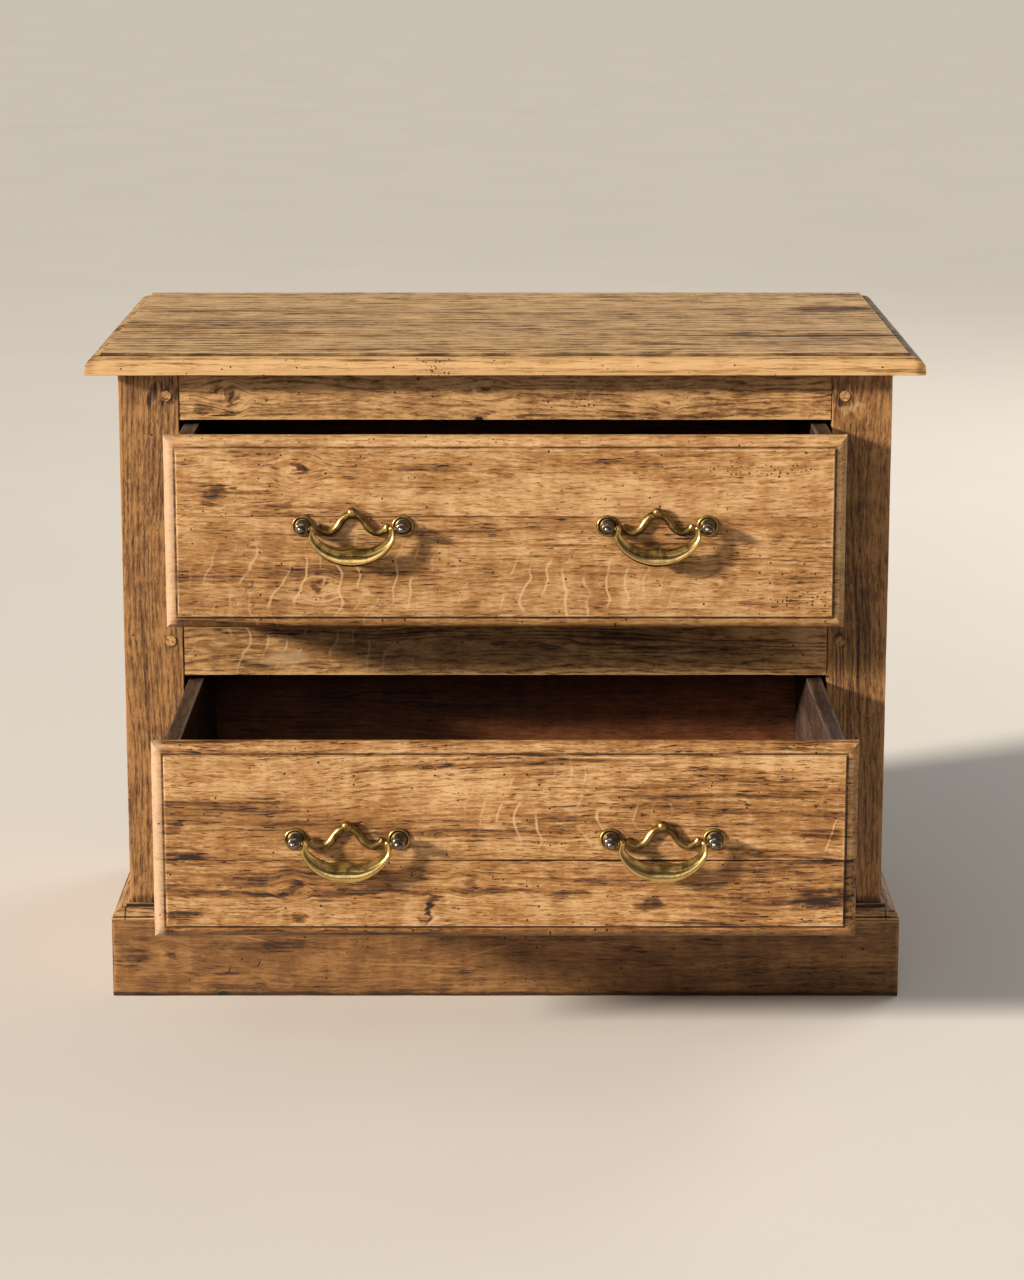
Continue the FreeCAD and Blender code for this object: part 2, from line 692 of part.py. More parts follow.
def swan_bar():
    """Swan-neck bar between two rosettes, with a ball finial, lying in front of the plane Y = 0."""
    half = size("handle_bore_spacing") / 2
    radius, standoff = size("bar_radius"), size("bar_standoff")
    left = [(0.18 * half - half, -0.03 * half, 0), (-0.59 * half, -0.19 * half, 0.16 * half),
            (-0.23 * half, 0.25 * half, 0.13 * half)]
    bend = [(0, 0.16 * half, 0.3 * half)]
    path = rounded_path(left + bend + [(-x, z, r) for x, z, r in reversed(left)])
    start = path.OrderedVertexes[0].Point
    section = Part.Wire(Part.makeCircle(radius, start, path.OrderedEdges[0].tangentAt(0)))
    bar = path.makePipeShell([section], True, True)
    bar.translate(FreeCAD.Vector(0, -standoff, 0))
    top = size("finial_height")
    finial = size("finial_radius")
    shapes = [Part.makeSphere(finial, FreeCAD.Vector(0, -standoff, top)),
              Part.makeSphere(0.55 * finial, FreeCAD.Vector(0, -standoff, top + 0.9 * finial)),
              Part.makeCylinder(0.6 * finial, top - 0.1 * half, FreeCAD.Vector(0, -standoff, 0.1 * half))]
    towards = FreeCAD.Vector(0, -1, 0)
    for side in (-1, 1):
        hub = FreeCAD.Vector(side * half, 0, 0)
        ring = size("rosette_ring")
        rim = Part.makeTorus(size("rosette_radius") - ring, ring,
                             FreeCAD.Vector(side * half, -size("rosette_height") * 0.6, 0), towards)
        disc = Part.makeCylinder(size("rosette_radius") - ring, size("rosette_height"), hub, towards)
        rim = rim.common(Part.makeCylinder(size("rosette_radius"), 10, hub, towards))
        ear = Part.makeSphere(1.15 * radius, FreeCAD.Vector(side * 0.73 * half, -standoff, 0.0))
        shapes += [disc, rim, ear]
    plate = bar.multiFuse(shapes).common(Part.makeBox(4 * half, 40, 4 * half,
                                                      FreeCAD.Vector(-2 * half, -40, -2 * half)))
    for side in (-1, 1):
        bore = Part.makeCylinder(size("stud_radius") + size("stud_clearance"), 40,
                                 FreeCAD.Vector(side * half, 5, 0), towards)
        seat = Part.makeCylinder(size("collar_radius") + size("stud_clearance"), 40,
                                 FreeCAD.Vector(side * half, -size("rosette_height"), 0), towards)
        plate = plate.cut(bore).cut(seat)
    return plate


def handle_plate(label, centre, face, level):
    """Back plate of one handle on the face of its drawer."""
    plate = doc.addObject("Part::Feature", label)
    plate.Shape = swan_bar()
    piece(label, place(plate, centre, face, level))


def bail_section(swing):
    """Closed curve across the bail where its crescent has turned by an angle from the lowest point."""
    half, drop = size("bail_half_width"), size("bail_drop")
    sine, cosine = math.sin(swing), math.cos(swing)
    tuck = size("bail_tuck") * abs(sine) ** 40 * math.copysign(1, sine)
    hump = size("bail_hump") * math.exp(-(swing / 0.22) ** 2)
    outer = FreeCAD.Vector(half * sine - tuck, 0, -drop * cosine)
    inner = FreeCAD.Vector((half - size("bail_end_width")) * sine - tuck, 0,
                           (hump - drop + size("bail_band")) * cosine)
    centre, reach = (outer + inner) / 2, (outer - inner) / 2
    swell = cosine ** 2
    points = []
    for step in range(SECTION_POINTS):
        turn = 2 * math.pi * step / SECTION_POINTS
        across = math.copysign(abs(math.cos(turn)) ** 0.8, math.cos(turn))
        thick = math.copysign(abs(math.sin(turn)) ** 0.8, math.sin(turn)) * size("bail_thickness") / 2
        if math.sin(turn) > 0:
            rim = math.exp(-((across - 0.6) / 0.24) ** 2)
            dish = math.exp(-((across + 0.15) / 0.42) ** 2)
            thick += swell * (1.5 * rim - 2.2 * dish) * math.sin(turn)
        points.append(centre + reach * across + FreeCAD.Vector(0, -thick, 0))
    curve = Part.BSplineCurve()
    curve.interpolate(points + points[:1])
    return Part.Wire(curve.toShape())


def handle_bail(label, centre, face, level):
    """Crescent bail on two pins, hung from the balls of its handle and standing a little forward."""
    steps = range(-BAIL_STEPS, BAIL_STEPS + 1)
    sections = [bail_section(math.pi / 2 * step / BAIL_STEPS) for step in steps]
    crescent = Part.makeLoft(sections, True, False)
    end = size("bail_half_width") - size("bail_tuck") - size("bail_end_width") / 2
    gap = size("handle_bore_spacing") / 2 - size("ball_radius")
    shapes = []
    for side in (-1, 1):
        along = FreeCAD.Vector(side, 0, 0)
        knuckle = Part.makeSphere(size("bail_end_width") / 2 + 0.2, along * end)
        length = gap + size("bail_pin_reach") - end
        shapes += [knuckle, Part.makeCylinder(size("bail_pin_radius"), length, along * end, along)]
    bail = doc.addObject("Part::Feature", label)
    bail.Shape = crescent.multiFuse(shapes)
    forward = FreeCAD.Rotation(FreeCAD.Vector(1, 0, 0), -size("bail_hang"))
    bail.Placement = FreeCAD.Placement(FreeCAD.Vector(), forward)
    piece(label, place(bail, centre, f"{face} - ball_standoff", level))


case()
plinth()
drawer("upper_drawer", UPPER_FLOOR, UPPER_CEILING, "upper_open", "upper_seam", "upper_handle_rise")
drawer("lower_drawer", LOWER_FLOOR, LOWER_CEILING, "lower_open", "lower_seam", "lower_handle_rise")
doc.recompute()

for thing in doc.Objects:
    if {"Invalid", "Error"} & set(thing.State):
        raise RuntimeError(f"{thing.Name} {thing.Label} failed: {thing.State}")
for thing in pieces:
    if thing.Shape.isNull() or not thing.Shape.isValid() or thing.Shape.Volume <= 0:
        raise RuntimeError(f"{thing.Label} has no valid solid")
    thing.Shape.exportStep(f"parts/{thing.Label}.step")
    limits = thing.Shape.BoundBox
    print(f"{thing.Label:32s} solids {len(thing.Shape.Solids)} volume {thing.Shape.Volume:11.0f} "
          f"x {limits.XMin:7.1f} {limits.XMax:7.1f} y {limits.YMin:7.1f} {limits.YMax:7.1f} "
          f"z {limits.ZMin:6.1f} {limits.ZMax:6.1f}")
print(len(pieces), "pieces")
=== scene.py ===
"""The looks of an old oak dresser with two drawers and four brass drop handles.

Lengths are in metres. X runs to the right, Y into the case and Z up, and the origin lies on the
floor under the middle of the plinth. Each board keeps the shape of its frame node, with worn
edges and slightly uneven faces. The handles are made afresh where the frame puts them.
"""

import logging
import math
from collections.abc import Sequence
from dataclasses import dataclass, field, replace
from enum import Enum

import bmesh
import bpy
from mathutils import Matrix, Vector, noise


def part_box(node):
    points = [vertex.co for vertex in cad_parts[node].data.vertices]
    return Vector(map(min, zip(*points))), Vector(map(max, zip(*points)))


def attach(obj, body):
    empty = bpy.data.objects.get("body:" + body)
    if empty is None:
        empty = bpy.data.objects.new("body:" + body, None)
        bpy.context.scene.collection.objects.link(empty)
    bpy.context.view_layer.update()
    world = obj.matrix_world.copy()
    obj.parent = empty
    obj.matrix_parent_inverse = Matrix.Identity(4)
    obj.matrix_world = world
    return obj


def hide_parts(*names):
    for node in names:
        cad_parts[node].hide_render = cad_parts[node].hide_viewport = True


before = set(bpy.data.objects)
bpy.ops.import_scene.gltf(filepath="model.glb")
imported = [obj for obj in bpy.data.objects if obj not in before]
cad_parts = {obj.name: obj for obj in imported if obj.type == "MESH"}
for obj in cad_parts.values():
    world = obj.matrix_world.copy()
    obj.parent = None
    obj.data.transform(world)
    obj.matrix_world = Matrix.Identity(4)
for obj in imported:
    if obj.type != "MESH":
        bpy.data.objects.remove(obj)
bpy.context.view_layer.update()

LOG = logging.getLogger("dresser")
SIDES = ("left", "right")
ENDS = (-1, 1)
Colour = tuple[float, float, float, float]
Triple = tuple[float, float, float]
Box = tuple[Vector, Vector]


def seen(red: int, green: int, blue: int) -> Colour:
    """Turns a colour as a screen shows it, 0 to 255, into linear light.

    Args:
        red: The red share.
        green: The green share.
        blue: The blue share.

    Returns:
        The linear colour with full alpha.
    """
    shares = [value / 255 for value in (red, green, blue)]
    linear = [((share + 0.055) / 1.055) ** 2.4 if share > 0.04045 else share / 12.92 for share in shares]
    return (linear[0], linear[1], linear[2], 1.0)


class Value:
    """One number that varies over a surface; arithmetic on it adds Math nodes."""

    def __init__(self, graph: "Graph", socket: bpy.types.NodeSocket) -> None:
        """Keeps the graph and the socket that gives the number."""
        self.graph = graph
        self.socket = socket

    def __add__(self, other: "Number") -> "Value":
        """The sum."""
        return self.graph.math("ADD", self, other)

    def __sub__(self, other: "Number") -> "Value":
        """The difference."""
        return self.graph.math("SUBTRACT", self, other)

    def __rsub__(self, other: float) -> "Value":
        """A plain number less this one."""
        return self.graph.math("SUBTRACT", other, self)

    def __mul__(self, other: "Number") -> "Value":
        """The product."""
        return self.graph.math("MULTIPLY", self, other)

    def __truediv__(self, other: "Number") -> "Value":
        """The quotient."""
        return self.graph.math("DIVIDE", self, other)

    def __rtruediv__(self, other: float) -> "Value":
        """A plain number divided by this one."""
        return self.graph.math("DIVIDE", other, self)

    def __abs__(self) -> "Value":
        """The size without the sign."""
        return self.graph.math("ABSOLUTE", self)

    __radd__ = __add__
    __rmul__ = __mul__

    def least(self, other: "Number") -> "Value":
        """The smaller of the two."""
        return self.graph.math("MINIMUM", self, other)

    def most(self, other: "Number") -> "Value":
        """The larger of the two."""
        return self.graph.math("MAXIMUM", self, other)

    def part(self) -> "Value":
        """The part after the decimal point."""
        return self.graph.math("FRACT", self)

    def step(self, low: float, high: float) -> "Value":
        """A smooth rise from 0 at low to 1 at high; a fall where low is the larger."""
        return self.graph.node("MapRange", {"interpolation_type": "SMOOTHSTEP"}, {0: self, 1: low, 2: high})


Number = Value | float


class Graph:
    """A node tree that shader expressions are written into."""

    def __init__(self, tree: bpy.types.NodeTree) -> None:
        """Empties the tree and keeps it."""
        self.tree = tree
        self.tree.nodes.clear()

    def node(self, kind: str, settings: dict[str, object], sockets: dict[str | int, object],
             output: str | int = 0) -> Value:
        """Adds one node.

        Args:
            kind: The node's type, without its ShaderNode prefix.
            settings: Its properties, which are set first; stops gives a ramp's places and colours.
            sockets: Values or links of its inputs, by name or number.
            output: The output that the returned value stands for.

        Returns:
            The chosen output; an end node, which has none, gives its first input.
        """
        made = self.tree.nodes.new("ShaderNode" + kind)
        for name, value in settings.items():
            if name == "stops":
                self._set_stops(made.color_ramp.elements, value)
            else:
                setattr(made, name, value)
        for name, value in sockets.items():
            if isinstance(value, Value):
                self.tree.links.new(value.socket, made.inputs[name])
            else:
                made.inputs[name].default_value = value
        return Value(self, made.outputs[output] if made.outputs else made.inputs[0])

    @staticmethod
    def _set_stops(elements: bpy.types.ColorRampElements, stops: Sequence[tuple[float, Colour]]) -> None:
        """Gives a colour ramp its stops.

        Args:
            elements: The stops of a new ramp.
            stops: The place and colour of each, in rising order.
        """
        while len(elements) < len(stops):
            elements.new(1.0)
        for element, (place, colour) in zip(elements, stops):
            element.position = place
            element.color = colour

    def math(self, operation: str, first: Number, second: Number = 0.0) -> Value:
        """One Math node."""
        return self.node("Math", {"operation": operation}, {0: first, 1: second})

    def mix(self, share: Number, first: Value | Colour, second: Value | Colour) -> Value:
        """Blends two colours by a share from 0 to 1."""
        settings = {"data_type": "RGBA", "clamp_factor": True}
        return self.node("Mix", settings, {0: share, 6: first, 7: second}, 2)

    def vector(self, x: Number, y: Number, z: Number) -> Value:
        """Joins three numbers into a vector."""
        return self.node("CombineXYZ", {}, {0: x, 1: y, 2: z})

    def axes(self) -> list[Value]:
        """The place on the object along X, Y and Z, which moves with its body."""
        place = self.node("TexCoord", {}, {}, "Object")
        return [self.node("SeparateXYZ", {}, {0: place}, axis) for axis in range(3)]

    def noise(self, place: Value, detail: float = 2.0, roughness: float = 0.5) -> Value:
        """Smooth noise, mostly between 0.25 and 0.75, with one cell per unit of place."""
        sockets = {"Vector": place, "Scale": 1.0, "Detail": detail, "Roughness": roughness}
        return self.node("TexNoise", {"noise_dimensions": "3D"}, sockets)

    def surface(self, colour: Value | Colour, roughness: Number, metallic: Number, height: Value,
                fixed: dict[str, object]) -> None:
        """Ends the graph in a Principled shader with a bump.

        Args:
            colour: The base colour.
            roughness: The roughness.
            metallic: The metal share.
            height: The relief in metres.
            fixed: Other inputs of the shader that are the same all over.
        """
        bump = self.node("Bump", {}, {"Strength": 1.0, "Distance": 1.0, "Height": height})
        sockets = {"Base Color": colour, "Roughness": roughness, "Metallic": metallic, "Normal": bump}
        shader = self.node("BsdfPrincipled", {}, sockets | fixed)
        self.node("OutputMaterial", {}, {"Surface": shader})


def new_material(name: str) -> tuple[bpy.types.Material, Graph]:
    """Makes an empty material.

    Args:
        name: The material's name.

    Returns:
        The material and the graph of its nodes.
    """
    material = bpy.data.materials.new(name)
    material.use_nodes = True
    return material, Graph(material.node_tree)


class Grain(Enum):
    """Which of X, Y and Z a board's length, face width and thickness follow."""

    FRONT = (0, 2, 1)
    FLAT = (0, 1, 2)
    UPRIGHT = (2, 0, 1)
    SIDE = (1, 2, 0)
    SIDE_UPRIGHT = (2, 1, 0)


class MarkKind(Enum):
    """What a mark on a board is."""

    KNOT = "knot"
    STAIN = "stain"
    PALE = "pale"
    WORM = "worm"
    RAYS = "rays"
    RUBBED = "rubbed"
    CRACK = "crack"
    SCRATCH = "scratch"


@dataclass(frozen=True)
class Mark:
    """A mark at one place of a board's face, with its half length and half width."""

    kind: MarkKind
    along: float
    across: float
    length: float
    width: float
    strength: float = 1.0
    turn: float = 0.0

    BEND_REACH = 3

    @classmethod
    def row(cls, kind: MarkKind, *places: tuple[float, ...]) -> list["Mark"]:
        """Marks of one kind, each from its other fields in order."""
        return [cls(kind, *place) for place in places]

    def reach(self, along: Value, across: Value) -> Value:
        """The mark's hold on a place, from 0 outside it to its strength in the middle.

        Args:
            along: The place along the grain.
            across: The place across the grain.

        Returns:
            The share of the mark.
        """
        a, b = along - self.along, across - self.across
        if self.turn:
            cosine, sine = math.cos(self.turn), math.sin(self.turn)
            a, b = a * cosine + b * sine, b * cosine - a * sine
        a, b = a / self.length, b / self.width
        return (a * a + b * b).step(1.0, 0.05) * self.strength

    def bent_grain(self) -> "Mark":
        """The wider stretch over which the grain bends round the mark."""
        length, width = self.length * self.BEND_REACH, self.width * self.BEND_REACH
        return replace(self, length=length, width=width, strength=1.0)

    def touches(self, low: Sequence[float], high: Sequence[float]) -> bool:
        """Whether the mark, or the grain that bends round it, comes near a face.

        Args:
            low: The face's lower ends along and across the grain.
            high: Its upper ends.

        Returns:
            True where it does.
        """
        wide = self.bent_grain()
        halves = (wide.length, wide.width)
        if self.turn:
            halves = (max(halves), max(halves))
        ranges = zip(low, (self.along, self.across), high, halves)
        return all(start - half < middle < end + half for start, middle, end, half in ranges)


@dataclass(frozen=True)
class Crevice:
    """A line of dirt and painted shade on a board, at one level of X, Y or Z, where it steps back, meets
    another or turns away from the light.
    """

    axis: int
    level: float
    half_width: float
    strength: float


@dataclass(frozen=True)
class Quirk:
    """The sunk line beside a moulding, painted dark with dirt and shade: its middle's inset from the sides
    that it follows.

    Each side is an axis and which end of it, 0 or 1.
    """

    inset: float
    half_width: float
    sides: tuple[tuple[int, int], ...]
    grime_and_shade: float


@dataclass(frozen=True)
class Layer:
    """A layer of noise: its cells to the metre along and across the grain, and how fine it goes."""

    length: float
    width: float
    detail: float
    roughness: float = 0.55


@dataclass(frozen=True)
class OakFinish:
    """Old oak of one sort: its tones from pale to dark, and how strong each kind of figure is."""

    slot: str
    pale: Colour
    honey: Colour
    brown: Colour
    soot: Colour
    bare: Colour = seen(212, 176, 128)
    rubbed: Colour = seen(174, 140, 107)
    depth: float = 0.25
    bands: float = 0.5
    blotches: float = 0.6
    streaks: float = 0.42
    rings: float = 0.17
    warp: float = 7.0
    fibre: float = 0.85
    dashes: float = 0.45
    rays: float = 0.0
    worm: float = 0.4
    wear: float = 0.3
    coarse: float = 1.0
    stretch: float = 1.0
    roughness: float = 0.52

    def dress(self, board: "Board") -> bpy.types.Material:
        """Makes the material of one board."""
        return OakShader(self, board).build()


class OakShader:
    """Draws one board's oak as the nodes of a material: its figure, marks, wear, dirt and painted shade."""

    LOOSE_MARKS = (MarkKind.KNOT, MarkKind.STAIN, MarkKind.PALE, MarkKind.WORM, MarkKind.RAYS)
    LOOSE_DRIFT = 0.045
    FIRM_DRIFT = 0.004
    SWAY_REACH = 0.035
    KNOT_PUSH = -0.6
    RING_COUNT = 165
    RAY_GAP = 0.019
    SPARSE_HOLES = 90
    CLOSE_HOLES = 230
    HOLE_RADIUS = 0.00055

    ROAM = Layer(30, 90, 3, 0.6)
    SWAY = Layer(2.2, 5, 2, 0.5)
    BLOTCH = Layer(24, 34, 4, 0.62)
    SMEAR = Layer(75, 14, 2, 0.62)
    BROAD = Layer(1.4, 18, 3)
    PATCHES = Layer(3.2, 32, 3, 0.6)
    STREAKS = Layer(6, 125, 5, 0.68)
    FIBRE = Layer(50, 340, 4, 0.82)
    PORES = Layer(95, 640, 1)
    RINGS = Layer(2.2, 16, 3)
    DASHES = Layer(46, 480, 2)

    SWELL = 0.0006
    FIBRE_RISE = 0.00022
    RAY_RISE = 0.00004
    DASH_SINK = 0.00016
    STREAK_SINK = 0.00008
    RING_SINK = 0.00005
    KNOT_SINK = 0.0002
    CRACK_SINK = 0.0003
    HOLE_SINK = 0.0012

    def __init__(self, finish: OakFinish, board: "Board") -> None:
        """Starts the material, and finds the marks and the run of the grain.

        Args:
            finish: The sort of oak.
            board: The board, with its grain, marks and place.
        """
        self.finish = finish
        self.board = board
        self.material, self.graph = new_material(f"{board.node}_oak")
        self.place = self.graph.axes()
        self.along, self.across, self.through = (self.place[axis] for axis in board.grain.value)
        self.roam = self._cloud(self.ROAM) - 0.5
        self.marks = {kind: self._hold(kind) for kind in MarkKind}
        sway = self._cloud(self.SWAY) - 0.5
        self.flow = self.across + sway * self.SWAY_REACH + self._swirl()

    def build(self) -> bpy.types.Material:
        """Joins everything into the colour, roughness and relief.

        Returns:
            The material.
        """
        finish, graph = self.finish, self.graph
        stain, knot, crack = (self.marks[kind] for kind in (MarkKind.STAIN, MarkKind.KNOT, MarkKind.CRACK))
        broad = self._figure(self.BROAD)
        patches = self._figure(self.PATCHES) + stain * 0.27
        streaks = (self._figure(self.STREAKS) + (patches - 0.5) * 0.8).step(0.52, 0.84)
        fibre = self._figure(self.FIBRE)
        pores = self._figure(self.PORES).step(0.62, 0.70)
        rings = self._rings() * (fibre + patches).step(0.70, 1.25)
        blotch = self._cloud(self.BLOTCH)
        smear = self._cloud(self.SMEAR)
        dashes = self._figure(self.DASHES).step(0.60, 0.66) * (patches + blotch * 0.5).step(0.68, 0.86)
        rays = self._rays()
        worm = self._worm()
        # The quirk's dark line is dirt and painted shade in the sunk groove.
        quirk, lip = self._quirk()
        worn = (self._edge() + self.roam * 0.008).step(0.005, 0.0) * finish.wear

        dark = finish.depth + (broad - 0.5) * finish.bands
        dark = dark + (blotch - 0.5) * finish.blotches + (smear - 0.5) * 0.25
        dark = dark + (fibre - 0.5) * finish.fibre + streaks * finish.streaks
        dark = dark + (dashes + pores * 0.5) * finish.dashes + rings * finish.rings
        # The crevices add dirt and painted shade.
        dark = dark + knot * (fibre * 1.1) + stain * 0.12 + self._crevice_dirt_and_shade() - worn - lip * 0.3
        dark = dark + crack - self.marks[MarkKind.SCRATCH]
        stops = [(0.0, finish.pale), (0.3, finish.honey), (0.62, finish.brown), (1.0, finish.soot)]
        colour = graph.node("ValToRGB", {"stops": stops}, {0: dark})
        colour = graph.mix(rays.most(self.marks[MarkKind.PALE]) * 0.6, colour, finish.bare)
        rubbed = self.marks[MarkKind.RUBBED]
        if isinstance(rubbed, Value):
            colour = graph.mix(rubbed * (1.6 - fibre * 1.4), colour, finish.rubbed)
        # Worm holes, and the quirk's dirt and painted shade, turn to soot.
        colour = graph.mix(worm.most(quirk), colour, finish.soot)

        roughness = finish.roughness + streaks * 0.12 + worm * 0.25 - worn * 0.1
        height = broad * self.SWELL + fibre * self.FIBRE_RISE + rays * self.RAY_RISE
        height = height - dashes * self.DASH_SINK - streaks * self.STREAK_SINK - rings * self.RING_SINK
        height = height - knot * self.KNOT_SINK - crack * self.CRACK_SINK - worm * self.HOLE_SINK
        graph.surface(colour, roughness, 0.0, height, {"Specular IOR Level": 0.3})
        return self.material

    def _cloud(self, layer: Layer) -> Value:
        """Noise that lies over the grain and doesn't follow it.

        Args:
            layer: Its cells and detail.

        Returns:
            The noise.
        """
        run = self.along * layer.length + self.board.seed
        spot = self.graph.vector(run, self.across * layer.width, self.through * layer.width)
        return self.graph.noise(spot, layer.detail, layer.roughness)

    def _figure(self, layer: Layer) -> Value:
        """Noise drawn out along the run of the grain.

        Args:
            layer: Its cells and detail.

        Returns:
            The noise.
        """
        run = self.along * (layer.length / self.finish.stretch) + self.board.seed * 7.1
        side = self.flow * (layer.width * self.finish.coarse)
        depth = self.through * (layer.width * (2 - self.finish.coarse))
        return self.graph.noise(self.graph.vector(run, side, depth), layer.detail, layer.roughness)

    def _hold(self, kind: MarkKind) -> Number:
        """The strongest hold of the board's marks of one kind.

        Args:
            kind: The kind.

        Returns:
            The share of the mark, a plain 0 where the board has none.
        """
        drift = self.LOOSE_DRIFT if kind in self.LOOSE_MARKS else self.FIRM_DRIFT
        total: Number = 0.0
        for mark in self.board.own_marks(kind):
            along = self.along + self.roam * drift
            total = mark.reach(along, self.across + self.roam * (drift / 2)).most(total)
        return total

    def _swirl(self) -> Number:
        """How far the knots push the grain aside.

        Returns:
            The push across the grain, in metres.
        """
        total: Number = 0.0
        for mark in self.board.own_marks(MarkKind.KNOT):
            bend = mark.bent_grain().reach(self.along, self.across)
            total = (self.across - mark.across) * bend * self.KNOT_PUSH + total
        return total

    def _rings(self) -> Value:
        """The dark side of the growth rings, warped along the grain.

        Returns:
            The share of the dark side.
        """
        warp = (self._figure(self.RINGS) - 0.5) * self.finish.warp
        growth = (self.flow * self.finish.coarse + self.through * 0.6) * self.RING_COUNT + warp
        return growth.part().step(0.45, 0.92)

    def _rays(self) -> Value:
        """Pale curved flecks that stand across the grain, in patches.

        Returns:
            The share of a fleck.
        """
        graph, along, across, seed = self.graph, self.along, self.across, self.board.seed
        depth = self.through * 9
        bend = graph.noise(graph.vector(along * 9 + seed, across * 17, depth), 2)
        lines = (along + (bend - 0.5) * 0.062 - across * 0.15) / self.RAY_GAP
        flecks = abs(lines.part() - 0.5).step(0.105, 0.01)
        breaks = graph.noise(graph.vector(along * 38, across * 24 + seed, depth), 2).step(0.43, 0.58)
        patches = graph.noise(graph.vector(along * 7, across * 9 + seed, depth), 1).step(0.52, 0.64)
        return flecks * breaks * (patches * self.finish.rays).most(self.marks[MarkKind.RAYS])

    def _worm(self) -> Value:
        """Small round holes, thinly scattered, and close together where a mark says so.

        Returns:
            The share of a hole, 1 inside it.
        """
        holes = self._holes(self.SPARSE_HOLES, self.finish.worm * 0.16)
        zones = self.marks[MarkKind.WORM]
        if isinstance(zones, Value):
            holes = holes.most(self._holes(self.CLOSE_HOLES, zones * 0.48))
        return holes

    def _holes(self, cells: float, chance: Number) -> Value:
        """Round holes in some cells of a loose grid.

        Args:
            cells: The number of cells to the metre.
            chance: The share of the cells that are bored.

        Returns:
            The share of a hole, 1 inside it.
        """
        graph = self.graph
        spot = graph.vector((self.along + 2.0) * cells, (self.across + self.through + 2.0) * cells, 0.0)
        settings = {"voronoi_dimensions": "2D", "feature": "F1"}
        distance = graph.node("TexVoronoi", settings, {"Vector": spot, "Scale": 1.0}, "Distance") / cells
        tint = graph.node("TexVoronoi", settings, {"Vector": spot, "Scale": 1.0}, "Color")
        bored = graph.node("SeparateColor", {}, {0: tint}, 0) + chance
        radius = graph.node("SeparateColor", {}, {0: tint}, 1) * self.HOLE_RADIUS + self.HOLE_RADIUS
        return (radius - distance).step(-0.0001, 0.0002) * bored.step(0.98, 1.0)

    def _edge(self) -> Value:
        """The distance from a place on the surface to the nearest edge of the board's outline.

        Returns:
            The distance in metres.
        """
        low, high = self.board.outline()
        gaps = [(self.place[axis] - low[axis]).least(high[axis] - self.place[axis]) for axis in range(3)]
        larger = gaps[0].most(gaps[1])
        return gaps[0].least(gaps[1]).most(larger.least(gaps[2]))

    def _quirk(self) -> tuple[Number, Number]:
        """The sunk line beside a moulding.

        Returns:
            The dirt and painted shade in the line, and the rubbed lip of the field inside it.
        """
        quirk, roam = self.board.quirk, self.roam
        if quirk is None:
            return 0.0, 0.0
        corners = self.board.outline()
        inset, *others = (abs(self.place[axis] - corners[end][axis]) for axis, end in quirk.sides)
        for gap in others:
            inset = inset.least(gap)
        half = quirk.half_width
        line = abs(inset - quirk.inset).step(half * 1.3, half * 0.6)
        dirt_and_shade = line * (roam.step(-0.20, 0.10) * 0.45 + 0.55) * quirk.grime_and_shade
        lip = abs(inset - quirk.inset - half - 0.0012).step(0.0014, 0.0002) * roam.step(-0.2, 0.2) * 0.7
        return dirt_and_shade, lip

    def _crevice_dirt_and_shade(self) -> Number:
        """The dirt and painted shade in the board's crevices, uneven along them.

        Returns:
            How much it darkens the board.
        """
        total: Number = 0.0
        for crevice in self.board.crevices:
            gap = abs(self.place[crevice.axis] - crevice.level) + self.roam * crevice.half_width
            total = (gap / crevice.half_width).step(1.0, 0.3) * crevice.strength + total
        return total


@dataclass(frozen=True)
class MetalFinish:
    """A cast metal: its bright and tarnished colours, its polish, and how much of it is tarnished."""

    name: str
    bright: Colour
    tarnish: Colour
    polish: float
    dull: float
    share: float

    HOLLOW = "hollow"
    CLOUD_CELLS = 90
    FINE_CELLS = 900

    def dress(self) -> bpy.types.Material:
        """Makes the material, tarnished in patches and in the hollows that the mesh marks, with painted shade
        and highlight where the mesh marks them.

        Returns:
            The material.
        """
        material, graph = new_material(self.name)
        axes = graph.axes()
        cloud = graph.noise(graph.vector(*(axis * self.CLOUD_CELLS for axis in axes)), 3, 0.6)
        fine = graph.noise(graph.vector(*(axis * self.FINE_CELLS for axis in axes)), 2)
        # The mesh's level adds tarnish, and on the strip and the bail's rim also painted shade and highlight.
        hollow = graph.node("Attribute", {"attribute_name": self.HOLLOW}, {}, "Fac")
        age = cloud.step(0.40, 0.66) * self.share + hollow * 0.65 + (fine - 0.5) * 0.3
        age = age.least(1.0).most(0.0)
        colour = graph.mix(age, self.bright, self.tarnish)
        roughness = self.polish + age * (self.dull - self.polish)
        graph.surface(colour, roughness, 1.0, fine * 0.00002 + cloud * 0.0002, {})
        return material


OAK_UPPER = OakFinish(
    "oak_front", pale=seen(196, 156, 108), honey=seen(152, 105, 56), brown=seen(100, 62, 29),
    soot=seen(36, 22, 12), depth=0.19, fibre=1.0, dashes=0.6, rays=0.1, worm=0.6, wear=0.22)
OAK_LOWER = replace(OAK_UPPER, honey=seen(148, 101, 52), depth=0.20, streaks=0.68, dashes=0.7, worm=0.7)
OAK_CASE = OakFinish(
    "oak_case", pale=seen(160, 114, 66), honey=seen(118, 79, 41), brown=seen(78, 49, 23),
    soot=seen(30, 19, 10), depth=0.14, streaks=0.5, rings=0.36, fibre=1.7)
OAK_PLINTH = replace(OAK_CASE, depth=0.23, blotches=0.8, streaks=0.42, rings=0.15, fibre=0.8)
OAK_MOULD = replace(OAK_CASE, pale=seen(196, 154, 104), honey=seen(150, 106, 62), depth=0.10, fibre=1.0)
